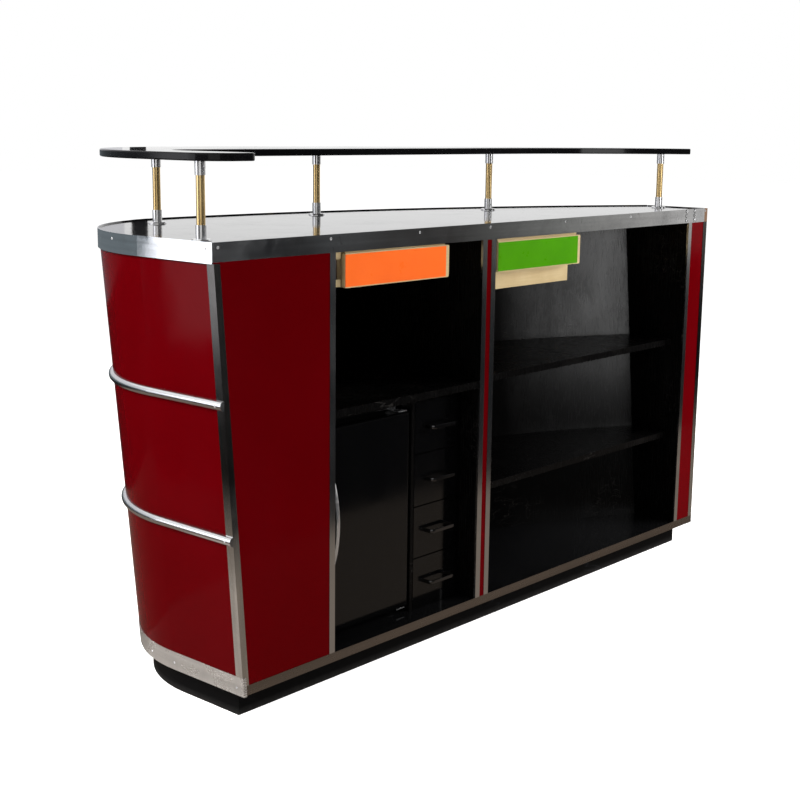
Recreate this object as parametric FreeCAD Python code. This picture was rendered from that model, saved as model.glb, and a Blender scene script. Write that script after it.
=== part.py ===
"""Bar counter with a rounded, leaning customer front and open bays on the service side.

Working frame: x runs along the service face from its left corner, y runs from the
service face into the counter, z runs up from the floor, all in millimetres.
The finished pieces are moved so that the origin is the middle of the footprint box.

Every curved piece follows one plan line: straight up the left end, round the end arc,
then along the wide front arc. A piece on that line is given by its profile in
(inset, z), where inset is the distance inwards from the plan line.
"""
import FreeCAD, Part
import math
import os

V = FreeCAD.Vector

# ---- driving dimensions: plan and heights ---------------------------------------------
LENGTH = 1995.0            # along the service face, over the metal bands
DEPTH = 668.0              # service face to the belly of the front arc
END_RADIUS = 425.0         # rounded left end
RIGHT_DEPTH = 218.5        # depth left at the right end
BELLY_X = 430.0            # where the front arc is deepest
PLINTH_HEIGHT = 68.0
BODY_HEIGHT = 1000.0       # underside of the bottom board to the rim of the top
LEAN = 72.5                # how far the curved wall leans in over the body height
SKIN_SET_BACK = 2.0        # curved wall behind the plan line, just under the rim

# ---- sheet and board thicknesses --------------------------------------------------------
BOARD = 18.0
UPRIGHT = 16.0             # walls and partitions of the bays
SHEET = 1.0                # folded metal trims
BAND_SHEET = 1.5
SKIN = 5.0                 # red faced hardboard
LINING = 12.0              # black board inside the curved front
LINING_GAP = 45.0          # outer face of the skin to the inner face of the lining
LAMINATE = 1.5
BOTTOM_BOARD = 22.0

# ---- top ----------------------------------------------------------------------------------
RIM_HEIGHT = 3.0
RIM_WIDTH = 5.0
RIM_SLOPE = 1.0
BAND_HEIGHT = 41.0         # it covers the edge of the top's board
BASE_TRIM_FACE = 23.0      # base trim on the service face
BASE_TRIM_CURVED = 45.0    # taller base trim round the curve
BASE_TRIM_DROP = 2.0       # the curved trim hangs a little below the board

# ---- plinth ---------------------------------------------------------------------------------
PLINTH_BACK_SET = 51.0     # from the service face
PLINTH_CURVE_SET = 29.0    # from the foot of the curved wall
PLINTH_END_SET = 23.0
PLINTH_BEND_BOARD = 12.0
BEARER_COUNT = 3

# ---- rails ------------------------------------------------------------------------------------
RAIL_RADIUS = 11.0
RAIL_DROPS = (342.0, 641.0)     # rim to the middle of each rail
RAIL_FLATS = 6             # flats that make up the half-round
STUD_WIDTH = 40.0
END_STUD_ANGLES = (18.0, 52.0)     # along the end arc from its start
FRONT_STUD_COUNT = 7
FRONT_STUD_START = 50.0    # first stud past the belly

# ---- service face ---------------------------------------------------------------------------
OPENING_LEFT = 359.4       # left edge of the left bay
MULLION_LEFT = 886.0
STRIP_WIDTH = 17.4         # red strip between the two partitions
RIGHT_MARGIN = 107.4       # right end to the right bay
CORNER_FACE_LEG = 16.0
CORNER_END_LEG = 22.0
CORNER_RIGHT_LEG = 20.0
TRIM_LEG = 6.0             # leg of the opening trims inside the bay
PANEL_FACE_Y = 1.0         # outer face of the red panels, behind the trims
INNER_RETURN = 8.0         # the curved base trim folds this far round the corner

# ---- shelves in the bays --------------------------------------------------------------------
UPPER_SHELF_DROP = 400.0   # rim to the top of the shelf
LOWER_SHELF_DROP = 692.0
RIGHT_SHELF_SET_BACK = 45.0
CLEAT = 18.0

# ---- cooler and small drawers in the left bay ---------------------------------------------------
MODULE_SET_BACK = 60.0
MODULE_BACK_GAP = 63.0     # module boards to the lining
DIVIDER = 12.0
FIT = 0.3                  # seat clearance between moving and fixed pieces
GAP = 3.0                  # joint between fronts
COOLER_WIDTH = 322.0
COOLER_DOOR = 40.0
COOLER_DOOR_FOOT = 16.0    # door above the bottom board
COOLER_DOOR_HEAD = 38.0    # door below the module's top
COOLER_WALL = 28.0
COOLER_BACK_GAP = 15.0     # case to the lining
GASKET = 6.0
GASKET_WIDTH = 10.0
DOOR_EDGE_GAP = 6.0        # door edge to the divider, so that its corner can turn
DOOR_ROUND = 6.0
PIN_RADIUS = 4.0
PIN_INSET = 12.0           # hinge pin from the door's edge and from its face
PIN_LENGTH = 15.0
BRACKET = 3.0
HANDLE_SPAN = 300.0
HANDLE_RISE = 26.0         # middle of the handle above the middle of the door
HANDLE_REACH = 36.0
HANDLE_STRAP = 5.0
HANDLE_WIDTH = 11.0
HANDLE_EDGE = 32.0         # handle from the free edge of the door
DRAWER_COUNT = 4
SMALL_FRONT = 14.0
SMALL_WALL = 8.0
SMALL_DEPTH = 340.0
SMALL_PULL_SPAN = 96.0
SMALL_PULL_REACH = 26.0
SMALL_PULL_STRAP = 4.0
SMALL_PULL_WIDTH = 9.0
SMALL_PULL_BEND = 12.0

# ---- drawers under the top ------------------------------------------------------------------
FRONT_WIDTH = 365.0
FRONT_HEIGHT = 78.0
FRONT_PLATE = 8.0
FRONT_ROUND = 5.0
FACE_WIDTH = 351.0
FACE_HEIGHT = 73.0
LEFT_FRONT_X = 388.5
RIGHT_FRONT_X = 947.0
LEFT_FRONT_DROP = 45.0     # rim to the top of the front plate
RIGHT_FRONT_DROP = 48.0
LEFT_BLOCK = 16.0          # board behind the front plate
RIGHT_BLOCK = 31.0
BLOCK_SET = 8.0            # the block stops short of the plate's sides
BOX_WALL = 9.0
BOX_DEPTH = 380.0
LEFT_BOX_DROP = 120.0      # rim to the underside of each box
RIGHT_BOX_DROP = 175.0
BOX_TOP_DROP = 56.0
FLANGE = 8.0
FLANGE_THICK = 6.0
HANGER_WEB = 4.0
TONGUE_DROP = 58.3
TONGUE_HEIGHT = 45.4

# ---- raised shelf ---------------------------------------------------------------------------
RAISED_UNDERSIDE = 164.0   # above the top surface
RAISED_THICK = 17.0
RAISED_SET = 10.0          # behind the plan line
RAISED_LEFT_WIDTH = 130.0  # strip along the left end
RAISED_BELLY_WIDTH = 310.0 # the run behind it, at the belly of the front arc
RAISED_MIDDLE_WIDTH = 188.0
RAISED_MIDDLE_X = 1350.0
RAISED_RIGHT_WIDTH = 110.0
RAISED_NEAR_CORNER = 75.0  # outer corner by the service face
RAISED_TIP_CORNER = 20.0
RAISED_BEND = 100.0        # inner corner between the strip and the run
RAISED_FAR_CORNER = 50.0   # outer corner at the right end
RAISED_END_CORNER = 12.0
RAISED_EDGE = 2.0
POST_INSET = 100.0
POST_BAR = 9.5
POST_SOCKET = 11.5
POST_FLANGE = 22.0
FLANGE_HEIGHT = 4.0
FLANGE_SLOPE = 2.5
LOWER_SOCKET = 33.0
UPPER_SOCKET = 29.0
NEAR_POST = (36.0, 75.0)
END_POST_ANGLE = 66.0      # along the end arc from its start
FRONT_POST_XS = (837.0, 1407.0)
LAST_POST_SET = 60.0       # last post from the right end

# ---- worked out from the values above ------------------------------------------------------------
RIM_Z = PLINTH_HEIGHT + BODY_HEIGHT
SURFACE_Z = RIM_Z - RIM_HEIGHT
TOP_UNDER_Z = RIM_Z - BAND_HEIGHT
BAND_FACE_Z = RIM_Z - BAND_HEIGHT
BAND_CURVED_Z = SURFACE_Z - BAND_HEIGHT
FLOOR_Z = PLINTH_HEIGHT + BOTTOM_BOARD
FACE_TRIM_Z = PLINTH_HEIGHT + BASE_TRIM_FACE
CURVED_TRIM_Z = PLINTH_HEIGHT - BASE_TRIM_DROP + BASE_TRIM_CURVED
FRONT_BULGE = DEPTH - RIGHT_DEPTH
FRONT_RADIUS = ((LENGTH - BELLY_X) ** 2 + FRONT_BULGE ** 2) / (2 * FRONT_BULGE)
FRONT_CENTRE = V(BELLY_X, DEPTH - FRONT_RADIUS, 0)
END_CENTRE_Y = FRONT_CENTRE.y + math.sqrt(
    (FRONT_RADIUS - END_RADIUS) ** 2 - (BELLY_X - END_RADIUS) ** 2)
END_CENTRE = V(END_RADIUS, END_CENTRE_Y, 0)
JOIN_ANGLE = math.degrees(math.atan2(END_CENTRE.y - FRONT_CENTRE.y, END_CENTRE.x - FRONT_CENTRE.x))
END_SWEEP = 180.0 - JOIN_ANGLE
UP = V(0, 0, 1)
FAR = 400.0                # past every side, for trimming
CORE_INSET = 300.0         # inside which a board's plan is filled by one flat prism
BAY_LEFT = OPENING_LEFT - SHEET
BAY_RIGHT = LENGTH - RIGHT_MARGIN + SHEET
END_FACE = LENGTH - BAND_SHEET      # outer face of the right end panel
TRIM_WIDTH = UPRIGHT + 2 * SHEET
MULLION_RIGHT = MULLION_LEFT + 2 * TRIM_WIDTH + STRIP_WIDTH
LEFT_BAY_END = MULLION_LEFT + SHEET
RIGHT_BAY_START = MULLION_RIGHT - SHEET
RAISED_Z = SURFACE_Z + RAISED_UNDERSIDE
LEFT_BOX_LOW = RIM_Z - LEFT_BOX_DROP
RIGHT_BOX_LOW = RIM_Z - RIGHT_BOX_DROP
BOX_HIGH = RIM_Z - BOX_TOP_DROP
TONGUE_HIGH = RIM_Z - TONGUE_DROP
TONGUE_LOW = TONGUE_HIGH - TONGUE_HEIGHT


def skin_inset(z):
    """Inset of the outer face of the leaning wall at height z."""
    return SKIN_SET_BACK + LEAN * (RIM_Z - z) / BODY_HEIGHT


def box(x0, x1, y0, y1, z0, z1):
    return Part.makeBox(x1 - x0, y1 - y0, z1 - z0, V(x0, y0, z0))


def polygon_face(points):
    return Part.Face(Part.makePolygon(points + [points[0]]))


def positive(solid):
    return solid if solid.Volume > 0 else solid.reversed()


def sweep_face(face, y_start, x_end):
    """Carry a face, drawn in the plane y = 0, along the plan line."""
    start = face.translated(V(0, y_start, 0))
    straight = positive(start.extrude(V(0, END_CENTRE_Y - y_start, 0)))
    at_end = face.translated(V(0, END_CENTRE_Y, 0))
    end = positive(at_end.revolve(END_CENTRE, UP, -END_SWEEP))
    at_front = at_end.copy()
    at_front.rotate(END_CENTRE, UP, -END_SWEEP)
    reach = FRONT_RADIUS - face.BoundBox.XMax
    sweep = JOIN_ANGLE - math.degrees(math.acos((x_end - BELLY_X) / reach)) + 3.0
    front = positive(at_front.revolve(FRONT_CENTRE, UP, -sweep))
    whole = straight.fuse([end, front]).removeSplitter()
    return trimmed(whole, x_end)


def trimmed(solid, x_end):
    """Cut a swept piece off square at x_end."""
    limits = solid.BoundBox
    beyond = box(x_end, x_end + 2 * FAR, limits.YMin - FAR, limits.YMax + FAR,
                 limits.ZMin - 1, limits.ZMax + 1)
    return solid.cut(beyond).Solids[0]


def sweep_profile(profile, y_start, x_end):
    """Sweep a polygon of (inset, z) points along the plan line."""
    return sweep_face(polygon_face([V(inset, 0, z) for inset, z in profile]), y_start, x_end)


def leaning_sheet(gap, thickness, z0, z1, y_start, x_end):
    """A sheet that leans with the wall, its outer face at gap behind the skin's face."""
    low, high = skin_inset(z0) + gap, skin_inset(z1) + gap
    profile = [(low, z0), (high, z1), (high + thickness, z1), (low + thickness, z0)]
    return sweep_profile(profile, y_start, x_end)


def plan_core(inset, z0, z1):
    """Flat prism of the whole plan inside one inset, open past the service face."""
    end_r, front_r = END_RADIUS - inset, FRONT_RADIUS - inset
    x_far = LENGTH + FAR / 4
    join = math.radians(JOIN_ANGLE)
    mid_end = math.radians(180.0 - END_SWEEP / 2)
    stop = math.acos((x_far - BELLY_X) / front_r)
    mid_front = (join + stop) / 2

    def on_end(angle):
        return V(END_CENTRE.x + end_r * math.cos(angle), END_CENTRE.y + end_r * math.sin(angle), z0)

    def on_front(angle):
        return V(FRONT_CENTRE.x + front_r * math.cos(angle),
                 FRONT_CENTRE.y + front_r * math.sin(angle), z0)

    low_left, high_left = V(inset, -FAR, z0), V(inset, END_CENTRE_Y, z0)
    low_right = V(x_far, -FAR, z0)
    edges = [Part.makeLine(low_left, high_left),
             Part.Arc(high_left, on_end(mid_end), on_end(join)).toShape(),
             Part.Arc(on_end(join), on_front(mid_front), on_front(stop)).toShape(),
             Part.makeLine(on_front(stop), low_right),
             Part.makeLine(low_right, low_left)]
    return positive(Part.Face(Part.Wire(edges)).extrude(V(0, 0, z1 - z0)))


def leaning_board(gap, x0, x1, y0, z0, z1, y1=None):
    """A board cut to the leaning wall: it fills the plan up to gap behind the skin's face."""
    low, high = skin_inset(z0) + gap, skin_inset(z1) + gap
    edge = [(low, z0), (high, z1), (CORE_INSET, z1), (CORE_INSET, z0)]
    plan = sweep_profile(edge, -FAR, LENGTH + FAR / 4).fuse(plan_core(CORE_INSET, z0, z1))
    deep = DEPTH + FAR if y1 is None else y1
    return plan.removeSplitter().common(box(x0, x1, y0, deep, z0, z1)).Solids[0]


def lean_vector(z0, z1):
    return V(skin_inset(z1) - skin_inset(z0), 0, z1 - z0)


def leaning_leg(x0, x1, y0, y1, z0, z1):
    """A bar along the leaning left corner: x is measured from the skin's face."""
    foot = skin_inset(z0)
    corners = [V(foot + x0, y0, z0), V(foot + x1, y0, z0), V(foot + x1, y1, z0), V(foot + x0, y1, z0)]
    return positive(polygon_face(corners).extrude(lean_vector(z0, z1)))


def on_plan(inset, x):
    """A point of the front arc at one inset, from its x."""
    reach = FRONT_RADIUS - inset
    return (x, FRONT_CENTRE.y + math.sqrt(reach ** 2 - (x - BELLY_X) ** 2))


def turned(profile, x, y):
    """Solid of revolution about an upright axis, from (radius, z) points."""
    face = polygon_face([V(radius, 0, z) for radius, z in profile])
    solid = positive(face.revolve(V(0, 0, 0), UP, 360))
    return solid.translated(V(x, y, 0))


# ---- plinth and carcass ---------------------------------------------------------------------------
def make_plinth(nodes):
    foot = skin_inset(PLINTH_HEIGHT) + PLINTH_CURVE_SET
    right = LENGTH - PLINTH_END_SET
    behind = PLINTH_BACK_SET + BOARD
    blank = plan_core(foot, 0, PLINTH_HEIGHT)
    inner = plan_core(foot + PLINTH_BEND_BOARD, 0, PLINTH_HEIGHT)
    nodes["plinth_service_board"] = box(foot, right, PLINTH_BACK_SET, behind, 0, PLINTH_HEIGHT)
    end_slab = box(right - BOARD, right, behind, DEPTH, 0, PLINTH_HEIGHT)
    nodes["plinth_end_board"] = blank.common(end_slab).Solids[0]
    bent = [(foot, 0), (foot, PLINTH_HEIGHT),
            (foot + PLINTH_BEND_BOARD, PLINTH_HEIGHT), (foot + PLINTH_BEND_BOARD, 0)]
    nodes["plinth_curved_board"] = sweep_profile(bent, behind, right - BOARD)
    bearers = []
    for i in range(BEARER_COUNT):
        x = LENGTH * (i + 1) / (BEARER_COUNT + 1)
        slab = box(x - BOARD / 2, x + BOARD / 2, behind, DEPTH, 0, PLINTH_HEIGHT)
        bearers.append(inner.common(slab).Solids[0])
    nodes["plinth_bearers"] = Part.makeCompound(bearers)


def make_carcass(nodes):
    end_x = END_FACE - SKIN
    nodes["bottom_board"] = leaning_board(SKIN, 0, end_x, PANEL_FACE_Y, PLINTH_HEIGHT, FLOOR_Z)
    board_top = SURFACE_Z - LAMINATE
    right = LENGTH - BAND_SHEET
    blank = plan_core(BAND_SHEET, TOP_UNDER_Z, board_top)
    nodes["top_board"] = blank.common(
        box(0, right, BAND_SHEET, DEPTH, TOP_UNDER_Z, board_top)).Solids[0]
    blank = plan_core(BAND_SHEET, board_top, SURFACE_Z)
    nodes["top_laminate"] = blank.common(
        box(0, right, BAND_SHEET, DEPTH, board_top, SURFACE_Z)).Solids[0]
    nodes["wall_left"] = upright(BAY_LEFT - UPRIGHT)
    nodes["wall_right"] = upright(BAY_RIGHT)
    partitions = [upright(x) for x in (LEFT_BAY_END, RIGHT_BAY_START - UPRIGHT)]
    nodes["partition_boards"] = Part.makeCompound(partitions)
    lining = leaning_sheet(LINING_GAP - LINING, LINING, FLOOR_Z, TOP_UNDER_Z, 0, BAY_RIGHT + UPRIGHT)
    keep = box(BAY_LEFT - UPRIGHT, LENGTH, END_CENTRE_Y, DEPTH + FAR, 0, RIM_Z)
    behind_right = box(LENGTH / 2, LENGTH, 0, END_CENTRE_Y, 0, RIM_Z)
    nodes["back_lining"] = lining.common(keep.fuse(behind_right)).Solids[0]


def upright(x):
    """A board from the service face back to the lining, between bottom board and top."""
    return leaning_board(LINING_GAP, x, x + UPRIGHT, PANEL_FACE_Y, FLOOR_Z, TOP_UNDER_Z)


def make_studs(nodes):
    """Leaning studs between the skin and the lining, which the bent skin is fixed to."""
    depth = LINING_GAP - LINING - SKIN
    hoop = leaning_sheet(SKIN, depth, FLOOR_Z, TOP_UNDER_Z, PANEL_FACE_Y + SKIN, END_FACE - SKIN)
    blank = Part.makeBox(2 * FAR, STUD_WIDTH, RIM_Z, V(0, -STUD_WIDTH / 2, 0))
    turns = [(END_CENTRE, 180.0 - angle) for angle in END_STUD_ANGLES]
    first = FRONT_STUD_START
    pitch = (END_FACE - SKIN - STUD_WIDTH - BELLY_X - first) / (FRONT_STUD_COUNT - 1)
    for i in range(FRONT_STUD_COUNT):
        turns.append((FRONT_CENTRE, math.degrees(math.acos((first + i * pitch) / FRONT_RADIUS))))
    corner = box(0, CORE_INSET, PANEL_FACE_Y + SKIN, PANEL_FACE_Y + SKIN + STUD_WIDTH, 0, RIM_Z)
    studs = [hoop.common(corner).Solids[0]]
    for centre, angle in turns:
        reach = (END_RADIUS if centre is END_CENTRE else FRONT_RADIUS) - FAR
        slab = blank.translated(centre + V(reach, 0, 0))
        slab.rotate(centre, UP, angle)
        studs.append(hoop.common(slab).Solids[0])
    nodes["curved_studs"] = Part.makeCompound(studs)


def make_skins(nodes):
    upper, lower = [RIM_Z - drop for drop in RAIL_DROPS]
    levels = (("skin_lower", PLINTH_HEIGHT, lower), ("skin_middle", lower, upper),
              ("skin_upper", upper, TOP_UNDER_Z))
    for name, z0, z1 in levels:
        nodes[name] = leaning_sheet(0, SKIN, z0, z1, PANEL_FACE_Y, END_FACE)
    for name, middle in (("rail_upper", upper), ("rail_lower", lower)):
        profile = []
        for i in range(RAIL_FLATS + 1):
            turn = math.pi * (i / RAIL_FLATS - 0.5)
            z = middle + RAIL_RADIUS * math.sin(turn)
            profile.append((skin_inset(z) - RAIL_RADIUS * math.cos(turn), z))
        rail = sweep_profile(profile, 0, LENGTH)
        nodes[name] = rail.cut(nodes["corner_trim_left"]).Solids[0]


# ---- service face ---------------------------------------------------------------------------------
def make_panels(nodes):
    z0, z1 = FACE_TRIM_Z, BAND_FACE_Z
    left, right = skin_inset(z0) + SKIN, skin_inset(z1) + SKIN
    inner = PANEL_FACE_Y + SKIN
    corners = [V(left, PANEL_FACE_Y, z0), V(BAY_LEFT - UPRIGHT, PANEL_FACE_Y, z0),
               V(BAY_LEFT - UPRIGHT, PANEL_FACE_Y, z1), V(right, PANEL_FACE_Y, z1)]
    panels = [positive(polygon_face(corners).extrude(V(0, SKIN, 0))),
              box(LEFT_BAY_END + UPRIGHT, RIGHT_BAY_START - UPRIGHT, PANEL_FACE_Y, inner, z0, z1),
              box(BAY_RIGHT + UPRIGHT, END_FACE - SKIN, PANEL_FACE_Y, inner, z0, z1)]
    nodes["service_panels"] = Part.makeCompound(panels)
    inside = leaning_board(0, END_FACE - SKIN, END_FACE, PANEL_FACE_Y, PLINTH_HEIGHT, TOP_UNDER_Z)
    skins = leaning_sheet(-SHEET, SKIN + SHEET, PLINTH_HEIGHT, TOP_UNDER_Z, -FAR, LENGTH + SHEET)
    nodes["end_panel"] = inside.cut(skins).Solids[0]


def edge_trim(x0, leg_at_right, z0, z1):
    """Folded trim on the front edge of an upright: a flat face and one leg into the bay."""
    face = box(x0, x0 + TRIM_WIDTH, 0, PANEL_FACE_Y, z0, z1)
    leg_x = x0 + TRIM_WIDTH - SHEET if leg_at_right else x0
    leg = box(leg_x, leg_x + SHEET, 0, TRIM_LEG, z0, z1)
    return face.fuse(leg).removeSplitter().Solids[0]


def make_trims(nodes):
    z0, z1 = FACE_TRIM_Z, BAND_FACE_Z
    trims = ((BAY_LEFT + SHEET - TRIM_WIDTH, True), (MULLION_LEFT, False),
             (MULLION_RIGHT - TRIM_WIDTH, True), (BAY_RIGHT - SHEET, False))
    nodes["opening_trims"] = Part.makeCompound(
        [edge_trim(x, leg_at_right, z0, z1) for x, leg_at_right in trims])

    low, high = PLINTH_HEIGHT - BASE_TRIM_DROP, CURVED_TRIM_Z
    sheet = leaning_sheet(-SHEET, SHEET, low, high, -SHEET, LENGTH)
    fold = leaning_leg(-SHEET, INNER_RETURN, -SHEET, 0, low, high)
    nodes["base_trim_curved"] = sheet.fuse(fold).removeSplitter().Solids[0]
    foot = on_plan(skin_inset(PLINTH_HEIGHT), LENGTH)[1]
    straight = [box(skin_inset(PLINTH_HEIGHT), LENGTH, 0, PANEL_FACE_Y, PLINTH_HEIGHT, FACE_TRIM_Z),
                box(END_FACE, END_FACE + SHEET, PANEL_FACE_Y, foot - GAP, PLINTH_HEIGHT, FACE_TRIM_Z)]
    nodes["base_trims_straight"] = Part.makeCompound(straight)

    face_leg = leaning_leg(-SHEET, CORNER_FACE_LEG, 0, PANEL_FACE_Y, z0, BAND_CURVED_Z)
    end_leg = leaning_leg(-SHEET, 0, 0, CORNER_END_LEG, z0, BAND_CURVED_Z)
    folded = face_leg.fuse(end_leg).removeSplitter()
    nodes["corner_trim_left"] = folded.cut(nodes["base_trim_curved"]).Solids[0]
    outer = END_FACE + SHEET
    right_face = box(outer - CORNER_RIGHT_LEG, outer, 0, PANEL_FACE_Y, z0, z1)
    right_leg = box(END_FACE, outer, 0, CORNER_RIGHT_LEG, z0, BAND_CURVED_Z)
    nodes["corner_trim_right"] = right_face.fuse(right_leg).removeSplitter().Solids[0]


def make_bands(nodes):
    nodes["band_service"] = box(0, LENGTH, 0, BAND_SHEET, BAND_FACE_Z, RIM_Z)
    strip = [(0, BAND_CURVED_Z), (0, RIM_Z), (BAND_SHEET, RIM_Z), (BAND_SHEET, BAND_CURVED_Z)]
    nodes["band_curved"] = sweep_profile(strip, BAND_SHEET, LENGTH)
    end_y = on_plan(BAND_SHEET, LENGTH)[1]
    nodes["band_end"] = box(END_FACE, LENGTH, BAND_SHEET, end_y, BAND_CURVED_Z, RIM_Z)
    bead = [(BAND_SHEET, SURFACE_Z), (BAND_SHEET, RIM_Z), (RIM_WIDTH - RIM_SLOPE, RIM_Z),
            (RIM_WIDTH, SURFACE_Z)]
    nodes["rim_bead"] = sweep_profile(bead, BAND_SHEET, END_FACE)


# ---- shelves in the bays -----------------------------------------------------------------------------
def make_bay_shelves(nodes):
    upper, lower = RIM_Z - UPPER_SHELF_DROP, RIM_Z - LOWER_SHELF_DROP
    right_bay = (RIGHT_BAY_START, BAY_RIGHT, RIGHT_SHELF_SET_BACK)
    left_bay = (BAY_LEFT, LEFT_BAY_END, TRIM_LEG)
    shelves = (("shelf_right_upper", right_bay, upper), ("shelf_right_lower", right_bay, lower),
               ("shelf_left", left_bay, upper))
    for name, (x0, x1, y0), z in shelves:
        nodes[name] = leaning_board(LINING_GAP, x0, x1, y0, z - BOARD, z)
    cleats = []
    for z in (upper, lower):
        for x in (RIGHT_BAY_START, BAY_RIGHT - CLEAT):
            start = RIGHT_SHELF_SET_BACK + CLEAT
            cleats.append(leaning_board(LINING_GAP, x, x + CLEAT, start, z - BOARD - CLEAT, z - BOARD))
    nodes["shelf_cleats"] = Part.makeCompound(cleats)


# ---- cooler and small drawers -------------------------------------------------------------------------
def lining_y(x, z):
    """How far back the lining's inner face is at x and height z."""
    inset = skin_inset(z) + LINING_GAP
    if x > BELLY_X:
        return on_plan(inset, x)[1]
    return END_CENTRE.y + math.sqrt((END_RADIUS - inset) ** 2 - (x - END_CENTRE.x) ** 2)


MODULE_TOP_Z = RIM_Z - UPPER_SHELF_DROP - BOARD
COOLER_DOOR_LOW = FLOOR_Z + COOLER_DOOR_FOOT
COOLER_DOOR_HIGH = MODULE_TOP_Z - COOLER_DOOR_HEAD
COOLER_LEFT = BAY_LEFT + 2 * GAP - SHEET
COOLER_RIGHT = COOLER_LEFT + COOLER_WIDTH
DIVIDER_X = COOLER_RIGHT + DOOR_EDGE_GAP
COLUMN_LEFT = DIVIDER_X + DIVIDER
COLUMN_RIGHT = LEFT_BAY_END
CASE_FRONT = MODULE_SET_BACK + COOLER_DOOR + GASKET
CASE_TOP = MODULE_TOP_Z - BOARD - GAP
PIN_X = COOLER_RIGHT - PIN_INSET
PIN_Y = MODULE_SET_BACK + PIN_INSET
CASE_BACK = min(lining_y(x, FLOOR_Z) for x in (COOLER_LEFT, COOLER_RIGHT)) - COOLER_BACK_GAP
MODULE_BACK = lining_y(LEFT_BAY_END, FLOOR_Z) - MODULE_BACK_GAP
DRAWER_PITCH = (MODULE_TOP_Z - BOARD - FLOOR_Z) / DRAWER_COUNT


def make_module(nodes):
    y0, y1 = MODULE_SET_BACK, MODULE_BACK
    under = MODULE_TOP_Z - BOARD
    nodes["module_top"] = box(BAY_LEFT, LEFT_BAY_END, y0, y1, under, MODULE_TOP_Z)
    nodes["module_divider"] = box(DIVIDER_X, DIVIDER_X + DIVIDER, y0, y1, FLOOR_Z, under)
    case = box(COOLER_LEFT, COOLER_RIGHT, CASE_FRONT, CASE_BACK, FLOOR_Z, CASE_TOP)
    hollow = box(COOLER_LEFT + COOLER_WALL, COOLER_RIGHT - COOLER_WALL, CASE_FRONT,
                 CASE_BACK - COOLER_WALL, FLOOR_Z + COOLER_WALL, CASE_TOP - COOLER_WALL)
    nodes["cooler_case"] = case.cut(hollow)
    brackets = []
    for door_z, up in ((COOLER_DOOR_HIGH, 1), (COOLER_DOOR_LOW, -1)):
        near = door_z + up * SHEET
        plate_far = near + up * BRACKET
        leg_far = near + up * (PIN_INSET + BRACKET)
        left, right = PIN_X - 2 * PIN_INSET, PIN_X + PIN_INSET / 2
        plate = box(left, right, PIN_Y - PIN_INSET / 2, CASE_FRONT, min(near, plate_far),
                    max(near, plate_far))
        leg = box(left, right, CASE_FRONT - BRACKET, CASE_FRONT, min(near, leg_far),
                  max(near, leg_far))
        pin = Part.makeCylinder(PIN_RADIUS, PIN_LENGTH, V(PIN_X, PIN_Y, near), UP * -up)
        brackets.append(plate.fuse([leg, pin]).removeSplitter().Solids[0])
    nodes["hinge_brackets"] = Part.makeCompound(brackets)


def make_cooler_door(nodes):
    slab = box(COOLER_LEFT, COOLER_RIGHT, MODULE_SET_BACK, MODULE_SET_BACK + COOLER_DOOR,
               COOLER_DOOR_LOW, COOLER_DOOR_HIGH)
    face_edges = [edge for edge in slab.Edges
                  if abs(edge.BoundBox.YMax - MODULE_SET_BACK) < SHEET / 10]
    door = slab.makeFillet(DOOR_ROUND, face_edges)
    depth = PIN_LENGTH + FIT
    for z in (COOLER_DOOR_LOW, COOLER_DOOR_HIGH - depth):
        bore = Part.makeCylinder(PIN_RADIUS + FIT, depth, V(PIN_X, PIN_Y, z), UP)
        door = door.cut(bore)
    nodes["cooler_door"] = door.Solids[0]
    back = MODULE_SET_BACK + COOLER_DOOR
    ring = box(COOLER_LEFT + GASKET_WIDTH, COOLER_RIGHT - GASKET_WIDTH, back, back + GASKET - FIT,
               COOLER_DOOR_LOW + GASKET_WIDTH, COOLER_DOOR_HIGH - GASKET_WIDTH)
    inner = box(COOLER_LEFT + 2 * GASKET_WIDTH, COOLER_RIGHT - 2 * GASKET_WIDTH, back, back + GASKET,
                COOLER_DOOR_LOW + 2 * GASKET_WIDTH, COOLER_DOOR_HIGH - 2 * GASKET_WIDTH)
    nodes["cooler_gasket"] = ring.cut(inner)
    x = COOLER_LEFT + HANDLE_EDGE
    middle = (COOLER_DOOR_LOW + COOLER_DOOR_HIGH) / 2 + HANDLE_RISE
    nodes["cooler_handle"] = bow_handle(x, middle)


def bow_handle(x, middle):
    """Upright arched strap, its ends on the door and its crown standing off."""
    y, half = MODULE_SET_BACK, HANDLE_SPAN / 2
    left = x - HANDLE_WIDTH / 2
    short = half - 1.6 * HANDLE_STRAP
    crown = y - HANDLE_REACH
    foot, head = V(left, y, middle - half), V(left, y, middle + half)
    inner_foot, inner_head = V(left, y, middle - short), V(left, y, middle + short)
    outline = [Part.Arc(foot, V(left, crown, middle), head).toShape(),
               Part.makeLine(head, inner_head),
               Part.Arc(inner_head, V(left, crown + HANDLE_STRAP, middle), inner_foot).toShape(),
               Part.makeLine(inner_foot, foot)]
    return positive(Part.Face(Part.Wire(outline)).extrude(V(HANDLE_WIDTH, 0, 0)))


def rounded_block(x0, x1, y0, y1, z0, z1, radius):
    """A block with its two front uprights rounded."""
    block = box(x0, x1, y0, y1, z0, z1)
    corners = [edge for edge in block.Edges if abs(edge.BoundBox.YMax - y0) < FIT
               and edge.BoundBox.ZLength > edge.BoundBox.XLength]
    return block.makeFillet(radius, corners)


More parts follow.
